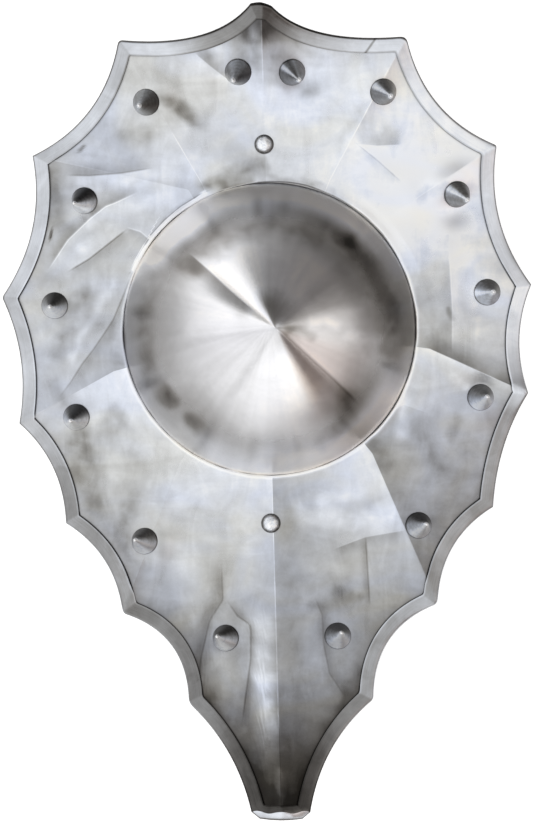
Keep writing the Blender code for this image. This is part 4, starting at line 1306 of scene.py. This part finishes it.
# Painted light and shade of a spike by the side of it: a painted highlight streak down one
# side, one half in painted shade, painted shade above and painted light below, deep
# painted shade above, or brown with painted shade, with or without a highlight streak
STREAK_HIGHLIGHT = ((0, 0.54), (60, 0.40), (100, 0.38), (122, 0.44), (136, 0.90), (156, 1.0), (170, 0.66),
            (190, 0.56), (240, 0.54), (290, 0.52), (330, 0.60))
HALF_SHADED = ((0, 0.52), (40, 0.40), (90, 0.38), (140, 0.42), (163, 0.66), (178, 1.0), (192, 1.0),
             (206, 0.72), (270, 0.74), (320, 0.70))
LIT_BELOW = ((0, 0.78), (35, 0.42), (60, 0.30), (100, 0.28), (140, 0.40), (175, 0.62), (200, 0.80),
              (225, 1.0), (330, 1.0))
SHADED_ABOVE = ((0, 0.80), (20, 0.46), (45, 0.22), (90, 0.14), (120, 0.24), (150, 0.62), (180, 0.84),
               (215, 1.0), (330, 1.0), (345, 0.92))
BROWN_SHADED = ((0, 0.32), (30, 0.42), (60, 0.66), (90, 0.72), (120, 0.68), (150, 0.56), (180, 0.58), (225, 0.80),
         (270, 0.60), (315, 0.36))
BROWN_SHADED_STREAK = ((0, 0.44), (60, 0.52), (90, 0.70), (115, 0.40), (132, 0.50), (142, 1.0), (154, 1.0),
                  (168, 0.62), (200, 0.52), (240, 0.50), (300, 0.44))
SPIKE_LIGHT_AND_SHADE = (BROWN_SHADED, BROWN_SHADED, BROWN_SHADED_STREAK, STREAK_HIGHLIGHT, STREAK_HIGHLIGHT, HALF_SHADED, LIT_BELOW, LIT_BELOW,
               LIT_BELOW, LIT_BELOW, LIT_BELOW, SHADED_ABOVE, SHADED_ABOVE, SHADED_ABOVE)

# Painted highlight at a spike's tip and painted shadow at its foot: how far each reaches, and fades, in
# millimetres
Band = namedtuple("Band", "tone reach fade")
TIP_HIGHLIGHT_BANDS = (Band(0.8, 3, 1.4), Band(0.15, 8, 5))
FOOT_SHADOW_BANDS = (Band(-0.45, 2.2, 1.3),)


def band_tone(distance, bands):
    return sum(band.tone * ease((band.reach - distance / MM) / band.fade) for band in bands)


def spikes(material):
    """Fourteen copies of one turned spike, each leaning as its solid does."""
    pattern = spike_pattern()
    local = points_of(pattern)
    # Painted tip highlight and painted foot shadow
    ends_highlight_and_shadow = band_tone(SPIKE_HEIGHT - local[:, 2], TIP_HIGHLIGHT_BANDS) + band_tone(local[:, 2], FOOT_SHADOW_BANDS)
    for number, (node, seat) in enumerate(zip(SPIKE_NAMES, SPIKE_SEATS), start=1):
        piece = copy_of(pattern, f"turned_spike_{number:02d}")
        turn = Vector((0, 0, 1)).rotation_difference(seat.axis).to_matrix()
        places = local @ np.array(turn).T + np.array(seat.foot)
        set_points(piece, at_hub(places))
        store(piece, "height", local[:, 2])
        # Painted light and shade by the side of each spike, with its painted tip highlight and foot shadow
        store(piece, "shade", tone_round(local[:, :2], SPIKE_LIGHT_AND_SHADE[number - 1]) + ends_highlight_and_shadow)
        smooth(piece, angle=40)
        finish_piece(piece, material, "spike_steel", node)
    bpy.data.objects.remove(pattern)


RIVETS = (("rivet_head_top", "rivet_top"), ("rivet_head_bottom", "rivet_bottom"))
HEAD_SIDES = 64
HEAD_RINGS = 18
HEAD_POWER = 0.8
HEAD_DENTS_PER_METRE = 260
HEAD_DENT_DEPTH = 0.45 * MM
# Painted highlight on top of a rivet head and painted shade towards its edge
HEAD_HIGHLIGHT_TONE = 0.98
HEAD_EDGE_SHADE_TONE = 0.40
HEAD_TONE_START = 0.55
HEAD_TONE_RUN = 0.4


def rivets(material):
    """Two domed rivets whose heads the hammer left uneven."""
    radius = RIVET_HEAD_DIAMETER / 2
    back = -(SHEET + FIT_GAP + GRIP_THICKNESS + FIT_GAP)
    angles = [math.pi / 2 * step / HEAD_RINGS for step in range(1, HEAD_RINGS + 1)]
    profile = [(radius * math.sin(angle), FIT_GAP + RIVET_HEAD_HEIGHT * math.cos(angle) ** HEAD_POWER)
               for angle in angles]
    profile += shank_profile(RIVET_SHANK_DIAMETER, back, RIVET_PEEN_DIAMETER, RIVET_PEEN)
    for number, ((name, node), seat) in enumerate(zip(RIVETS, RIVET_SEATS)):
        piece = spun(name, profile, HEAD_SIDES)
        close_poles(piece, profile[0][1], back)
        places = points_of(piece)
        head = places[:, 2] > FIT_GAP * 1.5
        dents = np.array([noise.noise(Vector((x, y, number * 5)) * HEAD_DENTS_PER_METRE)
                          for x, y in places[:, :2]])
        places[:, 2] += head * dents * HEAD_DENT_DEPTH
        set_points(piece, at_hub(places + np.array(seat.foot)))
        # Painted highlight on top of the head, easing into painted shade at its edge
        out = np.hypot(places[:, 0], places[:, 1]) / radius
        lit_to_shaded = ease((out - HEAD_TONE_START) / HEAD_TONE_RUN)
        store(piece, "shade", mix(HEAD_HIGHLIGHT_TONE, HEAD_EDGE_SHADE_TONE, lit_to_shaded))
        face_out(piece)
        smooth(piece, angle=40)
        finish_piece(piece, material, "rivet_steel", node)


# Grip, and how many stations each part of one half has: the hand's part, the widening,
# the wide part, the step and the pad up to its rivet, and then the pad's round end
GRIP_STATIONS = (30, 12, 14, 6, 6)
ROUND_END_STATIONS = 12
ROUND_END_TURN = 84
GRIP_EDGE = 0.8 * MM
GRIP_ROWS = 12
FORGED_LENGTH = 16 * MM
FORGED_DEPTH = 0.16 * MM


def grip_outline():
    """Stations along the grip: distance from the boss's axis, level of its top and half width."""
    level = -(SHEET + FIT_GAP + BOSS_SHEET + FIT_GAP)
    pad_level = -(SHEET + FIT_GAP)
    hand = GRIP_HAND_LENGTH / 2
    turn = FLANGE_RADIUS + 2 * FIT_GAP
    stations = []
    for side, seat in ((-1, RIVET_SEATS[1]), (1, RIVET_SEATS[0])):
        rivet = seat.foot.to_2d().length
        ends = (0, hand, hand + GRIP_WIDTH / 2, turn, turn + JOGGLE_RUN, rivet)
        parts = [np.linspace(*part)[1:] for part in zip(ends, ends[1:], GRIP_STATIONS)]
        along = np.concatenate([(0,)] + parts)
        swell = ease((along - hand) / (GRIP_WIDTH / 2))
        width = mix(GRIP_WIDTH, GRIP_PAD_WIDTH, swell)
        height = mix(level, pad_level, ease((along - turn) / JOGGLE_RUN))
        round_end = np.radians(np.linspace(0, ROUND_END_TURN, ROUND_END_STATIONS)[1:])
        along = np.concatenate((along, rivet + PAD_REACH * np.sin(round_end)))
        width = np.concatenate((width, GRIP_PAD_WIDTH * np.cos(round_end)))
        height = np.concatenate((height, np.full(len(round_end), pad_level)))
        half = np.column_stack((side * along, height, width / 2))
        stations.append(half[::-1] if side < 0 else half[1:])
    return np.concatenate(stations)


def grip_bar(material):
    """Forged flat bar, set back behind the boss's flange, with rounded pads at its ends."""
    stations = grip_outline()
    top, bottom = (np.array(seat.foot.xy) for seat in RIVET_SEATS)
    axis = (top - bottom) / np.hypot(*(top - bottom))
    across = np.array((-axis[1], axis[0]))
    middle = top - axis * np.hypot(*top)
    piece, column, row = grid("grip_bar", len(stations) - 1, GRIP_ROWS)
    along, level, half = stations[column].T
    share = row / GRIP_ROWS * 2 - 1
    plan = middle + np.outer(along, axis) + np.outer(share * half, across)
    set_points(piece, at_hub(np.column_stack((plan, level))))
    apply_modifier(piece, "SOLIDIFY", thickness=GRIP_THICKNESS, offset=-1)
    apply_modifier(piece, "BEVEL", width=GRIP_EDGE, segments=3, limit_method="ANGLE",
                   angle_limit=math.radians(50))
    places = points_of(piece)
    dents = waves(places[:, :2], FORGED_LENGTH, seed=2.3) * FORGED_DEPTH
    back = places[:, 2] < HUB.z + stations[:, 1].min() - GRIP_THICKNESS / 2
    places[:, 2] += np.where(back, np.maximum(dents, -FORGED_DEPTH), 0)
    set_points(piece, places)
    for seat in RIVET_SEATS:
        drill(piece, seat.foot + HUB, RIVET_SHANK_DIAMETER / 2 + FIT_GAP)
    face_out(piece)
    smooth(piece, angle=40)
    return finish_piece(piece, material, "grip_steel", "grip")


def drill(piece, place, radius):
    """Upright hole right through a piece at a place."""
    deselect()
    bpy.ops.mesh.primitive_cylinder_add(vertices=48, radius=radius, depth=GRIP_THICKNESS * 10,
                                        location=place)
    pin = bpy.context.object
    apply_modifier(piece, "BOOLEAN", operation="DIFFERENCE", object=pin, solver="EXACT")
    bpy.data.objects.remove(pin)


# Materials
def even(size):
    """The same size along each axis."""
    return (size,) * 3


def linear(hex_colour):
    """Scene colour of an sRGB hex value."""
    parts = [int(hex_colour[start:start + 2], 16) / 255 for start in (1, 3, 5)]
    return (*[part / 12.92 if part <= 0.04045 else ((part + 0.055) / 1.055) ** 2.4 for part in parts], 1)


def add(tree, kind, inputs=(), **settings):
    """Add a node with its settings, and values or links for its inputs by name or number."""
    node = tree.nodes.new(kind)
    for name, value in settings.items():
        setattr(node, name, value)
    for name, value in dict(inputs).items():
        if isinstance(value, bpy.types.NodeSocket):
            tree.links.new(value, node.inputs[name])
        else:
            node.inputs[name].default_value = value
    return node


def ramped(tree, value, stops):
    """Colour that a value has on a ramp of stops, each a position and an sRGB hex value."""
    ramp = add(tree, "ShaderNodeValToRGB", {"Fac": value})
    while len(ramp.color_ramp.elements) < len(stops):
        ramp.color_ramp.elements.new(0.5)
    for element, (position, hex_colour) in zip(ramp.color_ramp.elements, stops):
        element.position = position
        element.color = linear(hex_colour)
    return ramp.outputs["Color"]


# Colour of bare steel by its tone, which carries the painted light and shade: dark brown, then grey, then
# bluish white
STEEL_RAMP = ((0.0, "#262422"), (0.2, "#363431"), (0.4, "#676563"), (0.6, "#999999"), (0.8, "#CBCED3"),
              (0.92, "#E8ECF3"), (1.0, "#FDFEFF"))


def new_steel(name):
    """A metal material, its nodes, its shader, and its place in metres."""
    material = bpy.data.materials.new(name)
    material.use_nodes = True
    tree = material.node_tree
    shader = tree.nodes["Principled BSDF"]
    shader.inputs["Metallic"].default_value = 1
    return material, tree, shader, add(tree, "ShaderNodeTexCoord").outputs["Object"]


def marks(tree, place, size, detail=3, roughness=0.5, distortion=0, turn=0):
    """Noise whose marks have a size along each axis in metres, turned about Z."""
    scaled = add(tree, "ShaderNodeMapping", {"Vector": place, "Rotation": (0, 0, math.radians(turn)),
                                             "Scale": tuple(1 / each for each in size)})
    return add(tree, "ShaderNodeTexNoise", {"Vector": scaled.outputs["Vector"], "Scale": 1, "Detail": detail,
                                            "Roughness": roughness, "Distortion": distortion}).outputs["Fac"]


def layered(tree, base, layers):
    """A value with layers of marks added, each centred on zero and of a given strength."""
    for layer, strength in layers:
        centred = add(tree, "ShaderNodeMath", {0: layer, 1: -0.5}, operation="ADD").outputs[0]
        base = add(tree, "ShaderNodeMath", {0: centred, 1: strength, 2: base},
                   operation="MULTIPLY_ADD").outputs[0]
    return base


def fold_tone(tree, name, tone, softness=0.35):
    """A tone with the painted light and shade of crisp folds drawn from their marks, softened over so many
    millimetres.
    """
    node = add(tree, "ShaderNodeAttribute", attribute_name=name)
    distance, left, right = add(tree, "ShaderNodeSeparateColor", {0: node.outputs["Color"]}).outputs
    side = add(tree, "ShaderNodeMapRange", {"Value": distance, "From Min": -softness, "From Max": softness})
    sides = add(tree, "ShaderNodeMix", {"Factor": side.outputs[0], "A": right, "B": left})
    away = add(tree, "ShaderNodeMath", {0: distance}, operation="ABSOLUTE").outputs[0]
    near = add(tree, "ShaderNodeMapRange", {"Value": away, "From Min": softness, "From Max": softness * 2.5,
                                            "To Min": 1, "To Max": 0})
    line = add(tree, "ShaderNodeMath", {0: near.outputs[0], 1: node.outputs["Alpha"], 2: sides.outputs[0]},
               operation="MULTIPLY_ADD")
    return add(tree, "ShaderNodeMath", {0: line.outputs[0], 1: tone}, operation="ADD").outputs[0]


def steel_colour(tree, tone):
    """Colour of bare steel of a given tone."""
    return ramped(tree, tone, STEEL_RAMP)


def link(tree, shader, relief=None, **values):
    """Set or link the shader's inputs by name, and its relief from a height and a depth in metres."""
    if relief:
        height, depth = relief
        bump = add(tree, "ShaderNodeBump", {"Height": height, "Distance": depth, "Strength": 1})
        values["Normal"] = bump.outputs["Normal"]
    for name, value in values.items():
        socket = shader.inputs[name.replace("_", " ")]
        if isinstance(value, bpy.types.NodeSocket):
            tree.links.new(value, socket)
        else:
            socket.default_value = value


def buffed_sheet_steel():
    """Hammered sheet: linished panel by panel, buffed by hand, darker along the edging, with painted light
    and shade in its tone.
    """
    material, tree, shader, place = new_steel("buffed_sheet_steel")
    shade = add(tree, "ShaderNodeAttribute", attribute_name="shade").outputs["Fac"]
    clouds = marks(tree, place, even(46 * MM), roughness=0.55, distortion=0.8)
    smears = marks(tree, place, (15 * MM, 40 * MM, 30 * MM), distortion=1.8, turn=38)
    wipes = marks(tree, place, (46 * MM, 18 * MM, 30 * MM), distortion=1.6, turn=30)
    dabs = marks(tree, place, even(9 * MM), roughness=0.6, distortion=0.6)
    pits = marks(tree, place, even(1.6 * MM), roughness=0.7)
    tone = layered(tree, shade,
                   ((clouds, 0.18), (smears, 0.14), (wipes, 0.12), (dabs, 0.08), (pits, 0.05)))
    tone = fold_tone(tree, "crossing_folds", fold_tone(tree, "folds", tone))
    cast = marks(tree, place, (70 * MM, 50 * MM, 50 * MM), detail=2, distortion=1)
    cast = add(tree, "ShaderNodeMapRange", {"Value": cast, "From Min": 0.35, "From Max": 0.65}).outputs[0]
    cast = add(tree, "ShaderNodeMix", {"Factor": cast, "A": linear("#FFFCF4"), "B": linear("#F6F8FE")},
               data_type="RGBA").outputs["Result"]
    colour = add(tree, "ShaderNodeMix", {"Factor": 1, "A": steel_colour(tree, tone), "B": cast},
                 data_type="RGBA", blend_type="MULTIPLY").outputs["Result"]
    # Painted shadow line in the gap beside the edging
    gap_shadow = add(tree, "ShaderNodeAttribute", attribute_name="gap_shadow").outputs["Fac"]
    colour = add(tree, "ShaderNodeMix", {"Factor": gap_shadow, "A": colour, "B": linear("#2A2725")},
                 data_type="RGBA").outputs["Result"]
    roughness = layered(tree, 0.30, ((clouds, 0.16), (smears, 0.10)))
    link(tree, shader, Base_Color=colour, Roughness=roughness, relief=(pits, 0.03 * MM))
    return material


def ground_strip_steel():
    """Folded sheet, ground along its length, with duller patches and a painted highlight on the bent lip."""
    material, tree, shader, place = new_steel("ground_strip_steel")
    shade = add(tree, "ShaderNodeAttribute", attribute_name="shade").outputs["Fac"]
    strip = add(tree, "ShaderNodeAttribute", attribute_name="strip").outputs["Vector"]
    end = add(tree, "ShaderNodeAttribute", attribute_name="end").outputs["Fac"]
    lines = marks(tree, strip, (26 * MM, 0.45 * MM, 0.6 * MM), roughness=0.6)
    patches = marks(tree, place, even(16 * MM), detail=4, roughness=0.6, distortion=0.5)
    tone = layered(tree, shade, ((lines, 0.12), (patches, 0.26)))
    past_bend = add(tree, "ShaderNodeMapRange",
                    {"Value": end, "From Min": -0.2, "From Max": 0.2}).outputs[0]
    tone = add(tree, "ShaderNodeMath", {0: past_bend, 1: BENT_LIP_HIGHLIGHT, 2: tone},
               operation="MULTIPLY_ADD").outputs[0]
    roughness = layered(tree, 0.30, ((patches, 0.14),))
    link(tree, shader, Base_Color=steel_colour(tree, tone), Roughness=roughness,
         relief=(lines, 0.03 * MM))
    return material


# Width of the rays that the polishing left, as a share of their distance from the axis
RAY_WIDTH = 0.12


def spun_sheet_steel():
    """Dome spun over a former and brushed round, with painted reflections and shade in its tone."""
    material, tree, shader, place = new_steel("spun_sheet_steel")
    shade = add(tree, "ShaderNodeAttribute", attribute_name="shade").outputs["Fac"]
    radial = add(tree, "ShaderNodeAttribute", attribute_name="radial").outputs["Vector"]
    dull = add(tree, "ShaderNodeAttribute", attribute_name="dull").outputs["Fac"]
    clouds = marks(tree, place, even(30 * MM), detail=5, roughness=0.6, distortion=0.8)
    rays = marks(tree, radial, (RAY_WIDTH, RAY_WIDTH, 1))
    pits = marks(tree, place, even(1.2 * MM), detail=2, roughness=0.6)
    tone = layered(tree, shade, ((clouds, 0.18), (rays, 0.08), (pits, 0.04)))
    tone = fold_tone(tree, "folds", tone, softness=0.6)
    warm = add(tree, "ShaderNodeMix", {"Factor": 0.5, "A": steel_colour(tree, tone), "B": linear("#FFF6EC")},
               data_type="RGBA", blend_type="MULTIPLY").outputs["Result"]
    roughness = layered(tree, 0.24, ((clouds, 0.10), (dull, 0.16)))
    link(tree, shader, Base_Color=warm, Roughness=roughness, Anisotropic=0.75, Tangent=radial,
         relief=(pits, 0.02 * MM))
    return material


def turned_steel():
    """Cones turned on a lathe and left bright, with the tool's rings."""
    material, tree, shader, place = new_steel("turned_steel")
    shade = add(tree, "ShaderNodeAttribute", attribute_name="shade").outputs["Fac"]
    height = add(tree, "ShaderNodeAttribute", attribute_name="height").outputs["Fac"]
    height = add(tree, "ShaderNodeCombineXYZ", {"Z": height}).outputs["Vector"]
    rings = marks(tree, height, (1, 1, 0.5 * MM), detail=2)
    stains = marks(tree, place, even(3 * MM), roughness=0.6)
    tone = layered(tree, shade, ((rings, 0.16), (stains, 0.34)))
    link(tree, shader, Base_Color=steel_colour(tree, tone), Roughness=layered(tree, 0.40, ((rings, 0.1),)),
         relief=(rings, 0.02 * MM))
    return material


def hammered_rivet_steel():
    """Rivet heads closed with a hammer, with a painted highlight on top and painted shade at the edge."""
    material, tree, shader, place = new_steel("hammered_rivet_steel")
    shade = add(tree, "ShaderNodeAttribute", attribute_name="shade").outputs["Fac"]
    dents = marks(tree, place, even(2 * MM), roughness=0.6, distortion=1)
    tone = layered(tree, shade, ((dents, 0.7),))
    link(tree, shader, Base_Color=steel_colour(tree, tone), Roughness=0.36,
         relief=(dents, 0.4 * MM))
    return material


def forged_bar_steel():
    """Bar steel, dull and dark from the forge, with patches of scale and a long grain."""
    material, tree, shader, place = new_steel("forged_bar_steel")
    scale_marks = marks(tree, place, even(7 * MM), detail=5, roughness=0.65, distortion=0.4)
    grain = marks(tree, place, (0.6 * MM, 12 * MM, 2 * MM), roughness=0.6)
    tone = layered(tree, 0.50, ((scale_marks, 0.34), (grain, 0.1)))
    roughness = layered(tree, 0.42, ((scale_marks, 0.2),))
    link(tree, shader, Base_Color=steel_colour(tree, tone), Roughness=roughness,
         relief=(scale_marks, 0.12 * MM))
    return material


# Stage. The light comes from all round and above: soft panels and dark gaps by bearing,
# on three rings so many degrees from straight up
Ring = namedtuple("Ring", "zenith colours")
SKY_STRENGTH = 1.25
BACKDROP_COLOUR = (0.9, 0.9, 0.9, 1)
FLOOR_SIZE = 8
PAPER_COLOUR = (0.85, 0.85, 0.85, 1)
PAPER_ROUGHNESS = 0.9
PAPER_GLOW = 0.7
RINGS = (
    Ring(16, ((0, "#DCDCDC"), (60, "#D6D6D6"), (130, "#E8E9EB"), (200, "#E9EAEB"), (290, "#E1E1E1"))),
    Ring(42, ((0, "#EEEBE8"), (14, "#E0DCD8"), (24, "#A8A4A0"), (42, "#706C6A"), (90, "#747272"),
              (110, "#868686"), (123, "#F4F6FA"), (132, "#FCFCFF"), (138, "#A0A0A0"), (147, "#A0A0A0"),
              (153, "#FFFFFF"), (182, "#F8F8FA"), (186, "#DCDCDE"), (192, "#F0F0F2"), (230, "#F4F4F4"),
              (236, "#D8D8D8"), (244, "#FFFFFF"), (293, "#FFFFFF"), (300, "#C8BEB8"), (306, "#6E625C"),
              (316, "#74665E"), (321, "#D6CAC4"), (342, "#E4DAD4"), (352, "#F8F4F0"))),
    Ring(84, ((0, "#9C9896"), (40, "#5E5A57"), (75, "#747270"), (105, "#B4B4B4"), (120, "#F0F0F0"),
              (145, "#FAFAFA"), (165, "#BCBCBC"), (200, "#C8C8C8"), (260, "#E0E0E0"), (300, "#8C8480"),
              (325, "#A09894"))),
)


def studio():
    """Studio's walls and ceiling, which light the steel, and a plain backdrop that is seen."""
    world = bpy.data.worlds.new("studio")
    bpy.context.scene.world = world
    world.use_nodes = True
    tree = world.node_tree
    tree.nodes.clear()
    way = add(tree, "ShaderNodeSeparateXYZ", {0: add(tree, "ShaderNodeTexCoord").outputs["Generated"]})
    turn = add(tree, "ShaderNodeMath", {0: way.outputs["Y"], 1: way.outputs["X"]},
               operation="ARCTAN2").outputs[0]
    turn = add(tree, "ShaderNodeMath", {0: turn, 1: math.tau}, operation="DIVIDE").outputs[0]
    turn = add(tree, "ShaderNodeMath", {0: turn}, operation="FRACT").outputs[0]
    zenith = add(tree, "ShaderNodeMath", {0: way.outputs["Z"]}, operation="ARCCOSINE").outputs[0]
    colour = None
    for ring, before in zip(RINGS, (None,) + RINGS):
        stops = [(bearing / 360, hex_colour) for bearing, hex_colour in ring.colours]
        ring_colour = ramped(tree, turn, stops + [(1, ring.colours[0][1])])
        if before is None:
            colour = ring_colour
            continue
        share = add(tree, "ShaderNodeMapRange", {"Value": zenith, "From Min": math.radians(before.zenith),
                                                 "From Max": math.radians(ring.zenith)},
                    interpolation_type="SMOOTHSTEP").outputs["Result"]
        colour = add(tree, "ShaderNodeMix", {"Factor": share, "A": colour, "B": ring_colour},
                     data_type="RGBA").outputs["Result"]
    backdrop = add(tree, "ShaderNodeBackground", {"Color": BACKDROP_COLOUR})
    light = add(tree, "ShaderNodeBackground", {"Color": colour, "Strength": SKY_STRENGTH})
    seen = add(tree, "ShaderNodeLightPath").outputs["Is Camera Ray"]
    both = add(tree, "ShaderNodeMixShader", {0: seen, 1: light.outputs[0], 2: backdrop.outputs[0]})
    add(tree, "ShaderNodeOutputWorld", {"Surface": both.outputs[0]})


def floor():
    """Matt white paper, a little brighter where it is seen than where it is mirrored."""
    deselect()
    bpy.ops.mesh.primitive_plane_add(size=FLOOR_SIZE)
    piece = bpy.context.object
    piece.name = "floor"
    material = bpy.data.materials.new("white_paper")
    material.use_nodes = True
    tree = material.node_tree
    shader = tree.nodes["Principled BSDF"]
    seen = add(tree, "ShaderNodeLightPath").outputs["Is Camera Ray"]
    glow = add(tree, "ShaderNodeMath", {0: seen, 1: PAPER_GLOW}, operation="MULTIPLY").outputs[0]
    link(tree, shader, Base_Color=PAPER_COLOUR, Roughness=PAPER_ROUGHNESS, Emission_Color=(1, 1, 1, 1),
         Emission_Strength=glow)
    piece.data.materials.append(material)


CAMERA_PLACE = Vector((-0.1 * MM, 0.35 * MM, 1800 * MM))
SENSOR = 36
PICTURE_HEIGHT = 822
FOCAL_PIXELS = 2600


def camera():
    """Camera straight above, as in the photograph."""
    data = bpy.data.cameras.new("camera")
    data.sensor_width = SENSOR
    data.lens = SENSOR * FOCAL_PIXELS / PICTURE_HEIGHT
    data.clip_start = 0.1
    data.clip_end = 20
    seen_from = bpy.data.objects.new("camera", data)
    seen_from.location = CAMERA_PLACE
    bpy.context.collection.objects.link(seen_from)
    bpy.context.scene.camera = seen_from
    bpy.context.scene.view_settings.view_transform = "Standard"


camera()
studio()
floor()
plate_sheet(buffed_sheet_steel())
rim_strip(ground_strip_steel())
boss_dome(spun_sheet_steel())
spikes(turned_steel())
rivets(hammered_rivet_steel())
grip_bar(forged_bar_steel())
